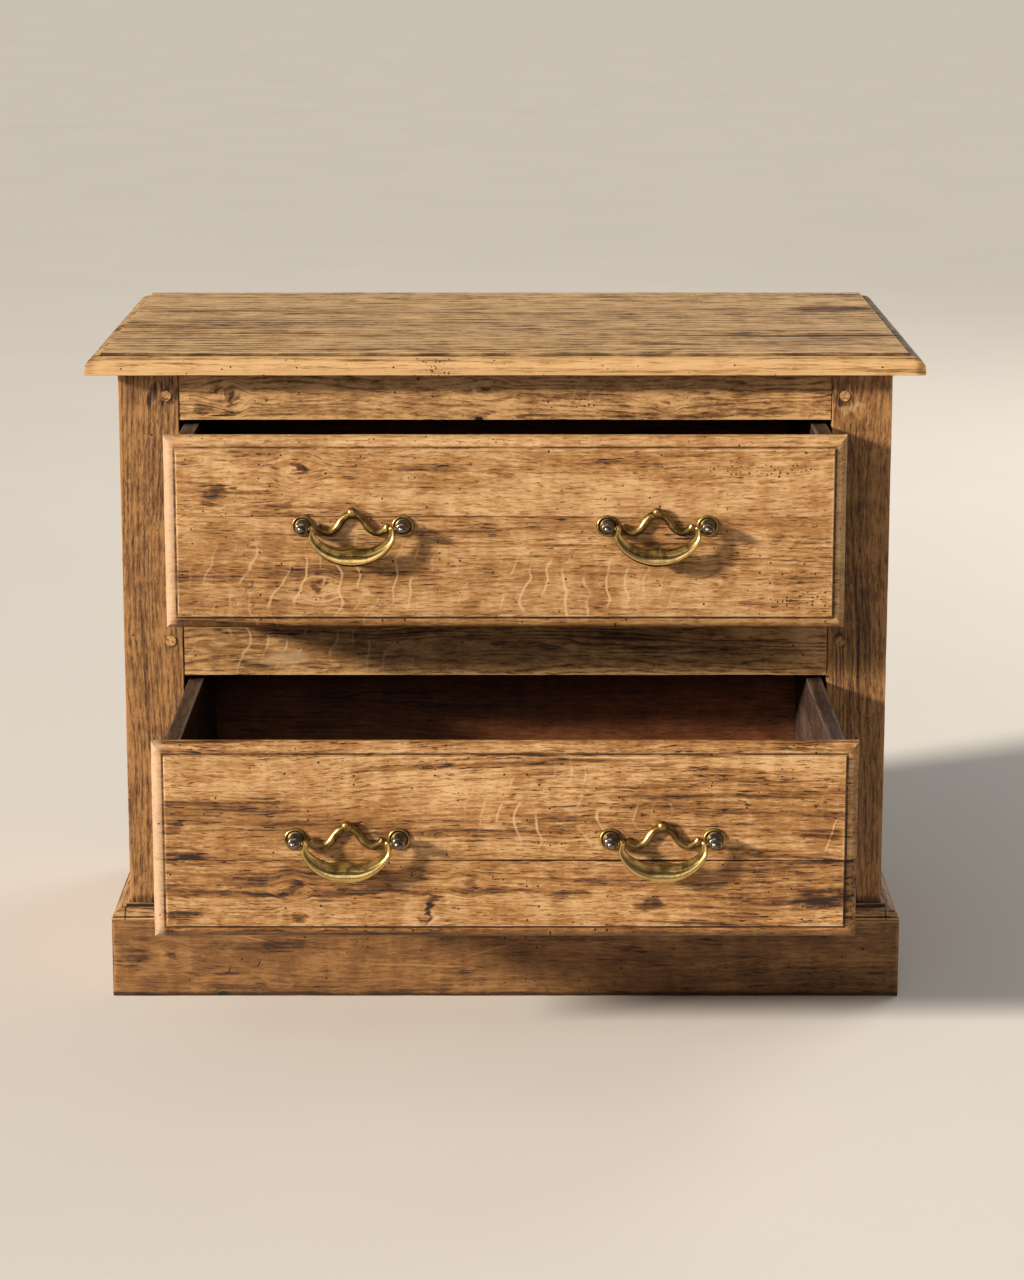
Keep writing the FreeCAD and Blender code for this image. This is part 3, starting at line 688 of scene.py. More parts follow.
OAK_TOP = OakFinish(
    "oak_top", pale=seen(212, 172, 120), honey=seen(176, 134, 84), brown=seen(106, 71, 38),
    soot=seen(34, 22, 12), rubbed=seen(166, 120, 70), depth=0.11, streaks=0.65, rings=0.50, warp=4.0,
    fibre=1.9, worm=0.5, coarse=0.40, stretch=2.2)
OAK_RAIL = OakFinish(
    "oak_case", pale=seen(200, 154, 100), honey=seen(150, 106, 60), brown=seen(98, 64, 33),
    soot=seen(34, 22, 12), depth=0.17, rings=0.45, warp=15.0, fibre=1.35, rays=0.3, worm=0.5)
OAK_INSIDE = OakFinish(
    "dark_interior", pale=seen(136, 82, 48), honey=seen(104, 57, 28), brown=seen(66, 35, 17),
    soot=seen(22, 12, 7), worm=0.1, wear=0.4)
OAK_SIDES = OakFinish(
    "dark_interior", pale=seen(92, 74, 62), honey=seen(60, 40, 28), brown=seen(40, 25, 16),
    soot=seen(18, 12, 8), worm=0.1, wear=0.4)
OAK_BACK = OakFinish(
    "plain_wood", pale=seen(160, 124, 84), honey=seen(128, 94, 59), brown=seen(86, 60, 36),
    soot=seen(36, 25, 16), worm=0.5, roughness=0.7)
BRASS = MetalFinish("aged_brass", seen(214, 177, 108), seen(100, 77, 41), 0.24, 0.42, 0.6)
BRONZE = MetalFinish("dark_bronze", seen(132, 120, 106), seen(44, 37, 31), 0.18, 0.38, 0.7)
IRON = MetalFinish("old_iron", seen(120, 112, 104), seen(58, 42, 32), 0.45, 0.75, 0.8)


def new_piece(name: str, mesh: bmesh.types.BMesh, material: bpy.types.Material,
              crease: float) -> bpy.types.Object:
    """Turns a mesh into an object of the scene with smooth shading.

    Args:
        name: The piece's name.
        mesh: Its mesh, which is used up.
        material: Its material.
        crease: The angle above which an edge stays sharp.

    Returns:
        The new object.
    """
    for face in mesh.faces:
        face.smooth = True
    for edge in mesh.edges:
        edge.smooth = len(edge.link_faces) == 2 and edge.calc_face_angle(0.0) < crease
    data = bpy.data.meshes.new(name)
    mesh.to_mesh(data)
    mesh.free()
    data.materials.append(material)
    piece = bpy.data.objects.new(name, data)
    bpy.context.scene.collection.objects.link(piece)
    return piece


def settle(piece: bpy.types.Object, body: str, node: str) -> None:
    """Lets a piece ride on a body in place of a frame node.

    Args:
        piece: The piece.
        body: The body that it moves with.
        node: The node that it stands for.
    """
    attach(piece, body)
    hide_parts(node)
    LOG.info("%s: %d points", piece.name, len(piece.data.vertices))


def dress_node(node: str, material: bpy.types.Material) -> None:
    """Gives a frame node, which keeps its shape, a material.

    Args:
        node: The node's name.
        material: The material.
    """
    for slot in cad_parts[node].material_slots:
        slot.material = material
    LOG.info("%s: dressed", node)


@dataclass(frozen=True)
class Wear:
    """How far use has rounded and dented a board, and the size of the cells that show it."""

    rounding: float
    dent: float
    chip: float
    spacing: float


@dataclass
class Board:
    """One wooden board: the frame's shape with softened edges, uneven faces and its own oak.

    The seed gives each board a grain and dents of its own. Boards that are glued under one moulding
    share the outline of their form, and their glued faces, each an axis and a level, stay flat.
    """

    node: str
    body: str
    finish: OakFinish
    grain: Grain
    seed: float
    wear: Wear
    form: Box | None = None
    glued: tuple[tuple[int, float], ...] = ()
    marks: tuple[Mark, ...] = ()
    quirk: Quirk | None = None
    crevices: tuple[Crevice, ...] = ()

    WELD = 1e-6
    ON_PLANE = 2e-4
    FLAT_ANGLE = math.radians(0.6)
    CREASE = math.radians(38)
    SHARP_ANGLE = math.radians(50)
    SHORTEST_ROUNDED = 0.03
    HOLLOW_CELLS = 14
    KNOCK_CELLS = 55
    KNOCK_FLOOR = 0.1
    EDGE_REACH = 0.004

    def outline(self) -> Box:
        """The corners of the form that the board belongs to, or its own corners."""
        return self.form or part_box(self.node)

    def own_marks(self, kind: MarkKind) -> list[Mark]:
        """The marks of one kind that lie on this board or near it."""
        low, high = ([corner[axis] for axis in self.grain.value[:2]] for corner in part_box(self.node))
        return [mark for mark in self.marks if mark.kind is kind and mark.touches(low, high)]

    def build(self) -> None:
        """Makes the board's piece, which stands for its node."""
        mesh = self._copy()
        self._round(mesh)
        self._slice(mesh)
        self._rub(mesh)
        piece = new_piece(f"{self.node}_aged", mesh, self.finish.dress(self), self.CREASE)
        piece.modifiers.new("even_shading", "WEIGHTED_NORMAL").keep_sharp = True
        settle(piece, self.body, self.node)

    def _copy(self) -> bmesh.types.BMesh:
        """Copies the node's shape, with its flat faces whole.

        Returns:
            The copy.
        """
        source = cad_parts[self.node].data
        mesh = bmesh.new()
        points = [mesh.verts.new(vertex.co) for vertex in source.vertices]
        for face in source.polygons:
            mesh.faces.new([points[index] for index in face.vertices])
        bmesh.ops.remove_doubles(mesh, verts=mesh.verts, dist=self.WELD)
        bmesh.ops.dissolve_limit(mesh, angle_limit=self.FLAT_ANGLE, verts=mesh.verts, edges=mesh.edges)
        mesh.normal_update()
        return mesh

    def _is_glued(self, place: Vector) -> bool:
        """Whether a place lies on a face that is glued to another board."""
        return any(abs(place[axis] - level) < self.ON_PLANE for axis, level in self.glued)

    def _round(self, mesh: bmesh.types.BMesh) -> None:
        """Rounds the long outer edges.

        Args:
            mesh: The board's mesh.
        """
        low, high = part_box(self.node)
        chosen = []
        for edge in mesh.edges:
            if len(edge.link_faces) != 2 or edge.calc_length() < self.SHORTEST_ROUNDED:
                continue
            middle = (edge.verts[0].co + edge.verts[1].co) / 2
            outer = any(min(middle[axis] - low[axis], high[axis] - middle[axis]) < self.ON_PLANE
                        for axis in range(3))
            sharp = edge.is_convex and edge.calc_face_angle(0.0) > self.SHARP_ANGLE
            if outer and sharp and not self._is_glued(middle):
                chosen.append(edge)
        bmesh.ops.bevel(mesh, geom=chosen, offset=self.wear.rounding, offset_type="OFFSET", segments=2,
                        profile=0.5, affect="EDGES", clamp_overlap=True)

    def _slice(self, mesh: bmesh.types.BMesh) -> None:
        """Cuts the faces into small cells along all three axes.

        Args:
            mesh: The board's mesh.
        """
        low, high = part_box(self.node)
        for axis in range(3):
            normal = Vector((0, 0, 0))
            normal[axis] = 1
            cells = max(1, round((high[axis] - low[axis]) / self.wear.spacing))
            for cut in range(1, cells):
                level = low[axis] + (high[axis] - low[axis]) * cut / cells
                geometry = [*mesh.verts, *mesh.edges, *mesh.faces]
                bmesh.ops.bisect_plane(mesh, geom=geometry, dist=self.WELD, plane_co=normal * level,
                                       plane_no=normal)
        mesh.normal_update()

    def _rub(self, mesh: bmesh.types.BMesh) -> None:
        """Sinks the faces a little here and there, more along the edges.

        Args:
            mesh: The board's mesh.
        """
        low, high = self.outline()
        shift = Vector((self.seed, self.seed * 2, self.seed * 3))
        for vertex in mesh.verts:
            if self._is_glued(vertex.co):
                continue
            place = vertex.co
            gaps = sorted(min(place[axis] - low[axis], high[axis] - place[axis]) for axis in range(3))
            hollows = 0.5 + 0.5 * noise.noise(place * self.HOLLOW_CELLS + shift)
            knocks = max(0.0, noise.noise(place * self.KNOCK_CELLS + shift) - self.KNOCK_FLOOR)
            at_edge = max(0.0, 1 - gaps[1] / self.EDGE_REACH)
            loss = self.wear.dent * hollows + self.wear.chip * knocks * at_edge
            vertex.co = place - vertex.normal * loss


def loft(mesh: bmesh.types.BMesh, rings: Sequence[Sequence[Vector]]) -> None:
    """Skins closed rings of equal count, with flat ends.

    Args:
        mesh: The mesh to add to.
        rings: The rings, in order.
    """
    rows = [[mesh.verts.new(point) for point in ring] for ring in rings]
    for first, second in zip(rows, rows[1:]):
        for index in range(len(first)):
            after = (index + 1) % len(first)
            mesh.faces.new((first[index], first[after], second[after], second[index]))
    mesh.faces.new(list(reversed(rows[0])))
    mesh.faces.new(rows[-1])


def turned(mesh: bmesh.types.BMesh, profile: Sequence[tuple[float, float]], centre: Vector,
           segments: int) -> None:
    """Turns a profile about an axis that points out of a drawer front.

    Args:
        mesh: The mesh to add to.
        profile: Pairs of the radius and the height above the front.
        centre: The foot of the axis on the front.
        segments: The number of sides.
    """
    rings = []
    for radius, height in profile:
        turns = (2 * math.pi * index / segments for index in range(segments))
        rings.append([centre + Vector((radius * math.cos(turn), -height, radius * math.sin(turn)))
                      for turn in turns])
    loft(mesh, rings)


def smooth_path(points: Sequence[tuple[float, float]], steps: int) -> list[tuple[float, float]]:
    """A smooth curve through points in a plane.

    Args:
        points: The points that the curve passes.
        steps: The number of stretches between two points.

    Returns:
        Points along the curve.
    """
    ends = [points[0], *points, points[-1]]
    path = []
    for before, start, end, after in zip(ends, ends[1:], ends[2:], ends[3:]):
        for step in range(steps):
            t = step / steps
            path.append(tuple(
                0.5 * (2 * b + (c - a) * t + (2 * a - 5 * b + 4 * c - d) * t * t
                       + (3 * b - a - 3 * c + d) * t ** 3)
                for a, b, c, d in zip(before, start, end, after)))
    return [*path, points[-1]]


def swell(place: float, middle: float, half: float, power: int = 2) -> float:
    """A rise to 1 about a middle, and squarer with a higher even power."""
    return math.exp(-(((place - middle) / half) ** power))


@dataclass
class DropHandle:
    """One drop handle: a swan-neck back plate with rosettes and a crescent bail on two studs.

    Over the bail's width, shares run from 0 at the inner edge to 1 at the outer.
    """

    drawer: str
    side: str
    spread: float = 0.100
    rosette: float = 0.011
    pivot: float = 0.014
    swing: float = math.radians(8)
    outer_width: float = 0.045
    outer_drop: float = 0.038
    inner_width: float = 0.039
    inner_drop: float = 0.020
    hump: float = 0.003
    half_thickness: float = 0.0026
    tuck: float = 0.0025
    knuckle: float = 0.0032
    pin: float = 0.0018
    pin_end: float = 0.0433
    finial_rise: float = 0.0142
    lip: float = 0.0012
    dish: float = 0.0026
    bead: float = 0.0010
    oval: float = 0.0008
    name: str = field(init=False)
    centre: Vector = field(init=False)

    STRIP = ((-0.0350, 0.0010), (-0.0325, -0.0030), (-0.0245, -0.0064), (-0.0165, -0.0020),
             (-0.0110, 0.0058), (-0.0060, 0.0104), (0.0, 0.0114), (0.0060, 0.0104), (0.0110, 0.0058),
             (0.0165, -0.0020), (0.0245, -0.0064), (0.0325, -0.0030), (0.0350, 0.0010))
    STRIP_STEPS = 8
    STRIP_SECTION = ((-0.0038, 0.0006), (-0.0038, 0.0030), (-0.0030, 0.0047), (-0.0012, 0.0059),
                     (0.0008, 0.0062), (0.0022, 0.0054), (0.0038, 0.0034), (0.0040, 0.0022), (0.0038, 0.0006))
    # Tarnish across the strip's section, with painted shade on its lower side and a painted highlight on its
    # upper edge, which faces the light.
    STRIP_TARNISH_AND_SHADING = (1.2, 1.2, 1.1, 1.0, 0.9, 0.7, 0.6, 1.0, 1.2)
    ROSETTE = ((0.0, 0.0), (1.0, 0.0), (1.0, 0.0009), (0.965, 0.0017), (0.90, 0.0022), (0.82, 0.0022),
               (0.76, 0.0016), (0.70, 0.0012), (0.62, 0.0016), (0.48, 0.0028), (0.40, 0.0030), (0.0, 0.0030))
    ROSETTE_DIRT = (1.0, 1.0, 0.8, 0.6, 0.5, 0.7, 1.1, 1.2, 1.2, 1.0, 1.0, 1.0)
    ROSETTE_SIDES = 48
    FINIAL = ((0.0, 0.0012), (0.0038, 0.0014), (0.0052, 0.0034), (0.0054, 0.0056), (0.0043, 0.0078),
              (0.0022, 0.0088), (0.0, 0.0090))
    FINIAL_DIRT = 0.8
    FINIAL_SIDES = 24
    BACK_DIRT = 0.6
    # Less tarnish on the outer rim: rubbed by use, and a painted highlight.
    RIM_RUBBED_AND_HIGHLIGHT = 0.5
    OVAL_HALF = 0.22
    STATIONS = 96
    FRONT_CELLS = 26
    BACK_CELLS = 8

    def __post_init__(self) -> None:
        """Reads the handle's place from the frame."""
        self.name = f"{self.drawer}_{self.side}"
        low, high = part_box(f"{self.name}_handle_plate")
        self.centre = Vector(((low.x + high.x) / 2, high.y, low.z + self.rosette))

    def build(self, brass: bpy.types.Material) -> None:
        """Makes the back plate and the bail.

        Args:
            brass: The material of both.
        """
        plate = new_piece(f"{self.name}_back_plate", self._plate(), brass, math.radians(45))
        settle(plate, self.drawer, f"{self.name}_handle_plate")
        bail = new_piece(f"{self.name}_drop", self._bail(), brass, math.radians(60))
        settle(bail, f"{self.name}_bail", f"{self.name}_bail")

    def feet(self) -> list[Vector]:
        """The places on the drawer front where the two studs stand."""
        return [self.centre + Vector((end * self.spread / 2, 0, 0)) for end in ENDS]

    def _plate(self) -> bmesh.types.BMesh:
        """Makes the swan-neck strip, its peak knob and the two rosettes.

        Returns:
            The mesh, with its tarnish, painted shade and painted highlight marked.
        """
        mesh = bmesh.new()
        path = smooth_path(self.STRIP, self.STRIP_STEPS)
        rings = []
        for behind, (x, z), ahead in zip([path[0], *path], path, [*path[1:], path[-1]]):
            tangent = Vector((ahead[0] - behind[0], ahead[1] - behind[1])).normalized()
            rings.append([self.centre + Vector((x - tangent.y * across, -height, z + tangent.x * across))
                          for across, height in self.STRIP_SECTION])
        loft(mesh, rings)
        dirt_and_shade = list(self.STRIP_TARNISH_AND_SHADING) * len(path)
        turned(mesh, self.FINIAL, self.centre + Vector((0, 0, self.finial_rise)), self.FINIAL_SIDES)
        dirt_and_shade += [self.FINIAL_DIRT] * (len(self.FINIAL) * self.FINIAL_SIDES)
        profile = [(self.rosette * share, height) for share, height in self.ROSETTE]
        for foot in self.feet():
            turned(mesh, profile, foot, self.ROSETTE_SIDES)
            dirt_and_shade += [level for level in self.ROSETTE_DIRT for _ in range(self.ROSETTE_SIDES)]
        self._mark_hollows(mesh, dirt_and_shade)
        bmesh.ops.recalc_face_normals(mesh, faces=mesh.faces)
        return mesh

    @staticmethod
    def _mark_hollows(mesh: bmesh.types.BMesh, levels: Sequence[float]) -> None:
        """Notes on a mesh where dirt and tarnish lie, and where shade and highlight are painted.

        Args:
            mesh: The mesh.
            levels: The level at each of its points, in order; below 0 where it is rubbed bright and painted
                as a highlight.
        """
        layer = mesh.verts.layers.float.new(MetalFinish.HOLLOW)
        for vertex, level in zip(mesh.verts, levels):
            vertex[layer] = level

    def _bail(self) -> bmesh.types.BMesh:
        """Makes the crescent, with a thin inner lip, a dished plate and a rolled outer rim.

        Returns:
            The mesh, with its hollows marked.
        """
        mesh = bmesh.new()
        rings = []
        hollows = []
        for station in range(self.STATIONS + 1):
            ring, depths = self._bail_section(math.pi * (station / self.STATIONS - 0.5))
            rings.append(ring)
            hollows.extend(depths)
        loft(mesh, rings)
        self._mark_hollows(mesh, hollows)
        self._knuckles(mesh)
        bmesh.ops.recalc_face_normals(mesh, faces=mesh.faces)
        return mesh

    def _knuckles(self, mesh: bmesh.types.BMesh) -> None:
        """Rounds the bail's ends and adds the pins that it swings on.

        Args:
            mesh: The bail's mesh.
        """
        middle = (self.outer_width + self.inner_width) / 2 - self.tuck
        length = self.pin_end - middle
        sideways = Matrix.Rotation(math.pi / 2, 4, "Y")
        for end in ENDS:
            knuckle = self.centre + Vector((end * middle, -self.pivot, 0))
            bmesh.ops.create_uvsphere(mesh, u_segments=24, v_segments=14, radius=self.knuckle,
                                      matrix=Matrix.Translation(knuckle) @ sideways)
            pin = knuckle + Vector((end * length / 2, 0, 0))
            bmesh.ops.create_cone(mesh, cap_ends=True, segments=20, radius1=self.pin, radius2=self.pin,
                                  depth=length, matrix=Matrix.Translation(pin) @ sideways)

    def _bail_section(self, angle: float) -> tuple[list[Vector], list[float]]:
        """One ring of the crescent.

        Args:
            angle: The angle from the bottom, a quarter turn at each end.

        Returns:
            The ring's points and how tarnished each of them is, less on the rim, which is rubbed and painted
            bright as a highlight.
        """
        sine, cosine = math.sin(angle), math.cos(angle)
        tuck = self.tuck * abs(sine) ** 40 * math.copysign(1, angle)
        hump = self.hump * swell(angle, 0.0, self.OVAL_HALF)
        outer = Vector((self.outer_width * sine - tuck, -self.outer_drop * cosine))
        inner = Vector((self.inner_width * sine - tuck, (hump - self.inner_drop) * cosine))
        broad = 0.3 + 0.7 * cosine ** 2
        ring = []
        hollows = []
        for index in range(self.FRONT_CELLS + 1):
            share = index / self.FRONT_CELLS
            rise = self._body(share) + self._relief(angle, share) * broad
            ring.append(self._hang(inner.lerp(outer, share), rise))
            sunk = broad * swell(share, 0.36, 0.25, 4)
            hollows.append(sunk - self.RIM_RUBBED_AND_HIGHLIGHT * swell(share, 0.78, 0.14, 4))
        for index in range(1, self.BACK_CELLS):
            share = 1 - index / self.BACK_CELLS
            ring.append(self._hang(inner.lerp(outer, share), -self._body(share)))
            hollows.append(self.BACK_DIRT)
        return ring, hollows

    def _body(self, share: float) -> float:
        """Half the bail's thickness at a share of its width, without the relief."""
        return self.half_thickness * (1 - abs(2 * share - 1) ** 6)

    def _relief(self, angle: float, share: float) -> float:
        """The relief of the bail's front: inner lip, dish, outer bead and the oval at the bottom.

        Args:
            angle: The angle from the bottom.
            share: The share of the width.

        Returns:
            The height above the plain front.
        """
        lip = self.lip * swell(share, 0.06, 0.05)
        dish = self.dish * swell(share, 0.36, 0.22, 4)
        bead = self.bead * swell(share, 0.90, 0.20)
        oval = self.oval * math.exp(-((angle / self.OVAL_HALF) ** 2 + ((share - 0.42) / 0.12) ** 2) ** 2)
        return lip - dish + bead - oval

    def _hang(self, point: Vector, rise: float) -> Vector:
        """Turns a place on the bail about the pins, to where it hangs.

        Args:
            point: The place across and up from the pins.
            rise: Its height above the bail's middle layer.

        Returns:
            The place in the scene.
        """
        out = -point.y * math.sin(self.swing) + rise * math.cos(self.swing)
        up = point.y * math.cos(self.swing) + rise * math.sin(self.swing)
        return self.centre + Vector((point.x, -self.pivot - out, up))


@dataclass
class Studs:
    """The four turned studs that carry a drawer's bails: a shank, a foot, a drum and a ball."""

    drawer: str
    handles: tuple[DropHandle, ...]
    ball: float = 0.0047
    ball_height: float = 0.0193
    ball_start: float = -0.62

    PROFILE = ((0.0, -0.0350), (0.0022, -0.0350), (0.0026, -0.0346), (0.0026, 0.0024), (0.0066, 0.0026),
               (0.0068, 0.0034), (0.0060, 0.0044), (0.0046, 0.0056), (0.0041, 0.0070), (0.0042, 0.0080),
               (0.0052, 0.0086), (0.0062, 0.0094), (0.0066, 0.0108), (0.0067, 0.0126), (0.0066, 0.0144),
               (0.0062, 0.0154), (0.0052, 0.0161), (0.0038, 0.0164))
    BALL_STEPS = 10
    SEGMENTS = 40

    def build(self, bronze: bpy.types.Material) -> None:
        """Turns the studs.

        Args:
            bronze: Their material.
        """
        mesh = bmesh.new()
        sweep = math.pi / 2 - self.ball_start
        angles = [self.ball_start + sweep * step / self.BALL_STEPS for step in range(self.BALL_STEPS + 1)]
        round_end = [(self.ball * math.cos(angle), self.ball_height + self.ball * math.sin(angle))
                     for angle in angles]
        for handle in self.handles:
            for foot in handle.feet():
                turned(mesh, [*self.PROFILE, *round_end], foot, self.SEGMENTS)
        bmesh.ops.recalc_face_normals(mesh, faces=mesh.faces)
        studs = new_piece(f"{self.drawer}_studs", mesh, bronze, math.radians(50))
        settle(studs, self.drawer, f"{self.drawer}_handle_posts")


TOP_MARKS = (
    *Mark.row(MarkKind.WORM, (-0.071, -0.243, 0.022, 0.008)),
    *Mark.row(MarkKind.RUBBED, (0.0, -0.245, 3.0, 0.017, 0.35)),
    *Mark.row(MarkKind.STAIN, (-0.350, -0.190, 0.060, 0.014, 0.5), (0.360, 0.100, 0.060, 0.040, 0.6)),
)
TOP_RAIL_MARKS = (
    *Mark.row(MarkKind.KNOT, (-0.294, 0.646, 0.009, 0.007, 0.8), (-0.279, 0.637, 0.007, 0.008, 0.9),
              (-0.020, 0.648, 0.012, 0.006, 0.8), (0.167, 0.634, 0.006, 0.005, 0.8)),
    *Mark.row(MarkKind.STAIN, (-0.277, 0.624, 0.012, 0.005, 0.9), (-0.311, 0.626, 0.016, 0.007, 0.8)),
    *Mark.row(MarkKind.CRACK, (-0.027, 0.616, 0.005, 0.003), (-0.290, 0.620, 0.016, 0.0012, 0.8)),
    *Mark.row(MarkKind.WORM, (0.075, 0.633, 0.022, 0.006)),
)
MIDDLE_RAIL_MARKS = (
    *Mark.row(MarkKind.RAYS, (-0.200, 0.372, 0.150, 0.040)),
    *Mark.row(MarkKind.PALE, (-0.228, 0.363, 0.030, 0.012, 0.6)),
    *Mark.row(MarkKind.STAIN, (-0.250, 0.395, 0.060, 0.012, 0.7)),
)
PEG_LEVELS = (0.6405, 0.382, 0.1085)
PEG_STAINS = [(level, end * 0.348, 0.011, 0.009) for level in PEG_LEVELS for end in ENDS]
POST_MARKS = (
    *Mark.row(MarkKind.STAIN, *PEG_STAINS, (0.642, -0.360, 0.009, 0.007), (0.640, -0.338, 0.008, 0.004),
              (0.641, 0.337, 0.014, 0.004)),
    *Mark.row(MarkKind.PALE, (0.628, 0.356, 0.008, 0.016, 0.5)),
)
PLINTH_MARKS = (
    *Mark.row(MarkKind.KNOT, (-0.352, 0.046, 0.008, 0.006, 0.7)),
    *Mark.row(MarkKind.STAIN, (-0.390, 0.046, 0.026, 0.010, 0.9), (-0.250, 0.055, 0.080, 0.008, 0.8),
              (-0.300, 0.028, 0.050, 0.006, 0.8), (-0.395, 0.030, 0.014, 0.006, 0.9)),
    *Mark.row(MarkKind.CRACK, (-0.292, 0.028, 0.005, 0.0010, 0.7, 1.3),
              (-0.260, 0.036, 0.005, 0.0010, 0.6, 1.2), (-0.298, 0.003, 0.006, 0.0030, 0.8)),
    *Mark.row(MarkKind.SCRATCH, (-0.275, 0.066, 0.045, 0.0009, 0.35, -0.25),
              (-0.090, 0.034, 0.080, 0.0008, 0.30, -0.03), (-0.020, 0.050, 0.060, 0.0008, 0.30, 0.30),
              (0.120, 0.058, 0.070, 0.0008, 0.25, -0.10), (0.250, 0.040, 0.060, 0.0008, 0.25, 0.16)),
)
UPPER_MARKS = (
    *Mark.row(MarkKind.KNOT, (-0.207, 0.586, 0.011, 0.009, 1.3), (-0.185, 0.466, 0.008, 0.008, 0.8)),
    *Mark.row(MarkKind.STAIN, (-0.286, 0.562, 0.013, 0.008, 0.8), (-0.291, 0.551, 0.016, 0.004, 0.8),
              (-0.226, 0.548, 0.018, 0.006, 0.6), (-0.315, 0.590, 0.020, 0.006, 0.5),
              (-0.084, 0.586, 0.060, 0.007, 0.55), (0.125, 0.592, 0.070, 0.005, 0.35),
              (-0.258, 0.463, 0.003, 0.008, 0.8), (0.290, 0.510, 0.005, 0.030, 0.35)),
    *Mark.row(MarkKind.PALE, (-0.142, 0.458, 0.007, 0.007, 0.8), (0.171, 0.468, 0.007, 0.004, 0.8),
              (0.189, 0.468, 0.005, 0.004, 0.8), (0.211, 0.468, 0.006, 0.005, 0.8),
              (0.337, 0.520, 0.011, 0.130, 0.5)),
    *Mark.row(MarkKind.WORM, (0.250, 0.584, 0.075, 0.009), (0.298, 0.450, 0.042, 0.012)),
    *Mark.row(MarkKind.RAYS, (-0.180, 0.470, 0.180, 0.060), (0.060, 0.460, 0.140, 0.050)),
    *Mark.row(MarkKind.CRACK, (-0.120, 0.537, 0.260, 0.0012, 0.4)),
    *Mark.row(MarkKind.RUBBED, (-0.337, 0.520, 0.010, 0.200, 0.9)),
)
LOWER_MARKS = (
    *Mark.row(MarkKind.KNOT, (-0.206, 0.203, 0.008, 0.007, 0.8), (-0.198, 0.173, 0.010, 0.007, 0.7),
              (-0.035, 0.206, 0.008, 0.006, 0.5)),
    *Mark.row(MarkKind.STAIN, (-0.074, 0.184, 0.007, 0.020, 1.2), (-0.120, 0.199, 0.200, 0.005, 0.55),
              (-0.311, 0.175, 0.022, 0.010, 0.85), (-0.300, 0.228, 0.060, 0.006, 0.8),
              (-0.305, 0.312, 0.040, 0.006, 0.7), (-0.322, 0.262, 0.012, 0.008, 0.7),
              (0.053, 0.194, 0.035, 0.006, 0.7), (0.141, 0.187, 0.020, 0.008, 0.8),
              (0.307, 0.192, 0.035, 0.010, 0.75), (0.305, 0.258, 0.034, 0.010, 0.6)),
    *Mark.row(MarkKind.PALE, (-0.070, 0.174, 0.004, 0.011, 0.9)),
    *Mark.row(MarkKind.RAYS, (0.060, 0.285, 0.120, 0.050)),
    *Mark.row(MarkKind.CRACK, (0.117, 0.231, 0.235, 0.0012, 0.8)),
    *Mark.row(MarkKind.SCRATCH, (0.315, 0.258, 0.025, 0.0009, 0.4, 1.27)),
    *Mark.row(MarkKind.RUBBED, (-0.337, 0.250, 0.010, 0.200, 0.9)),
)


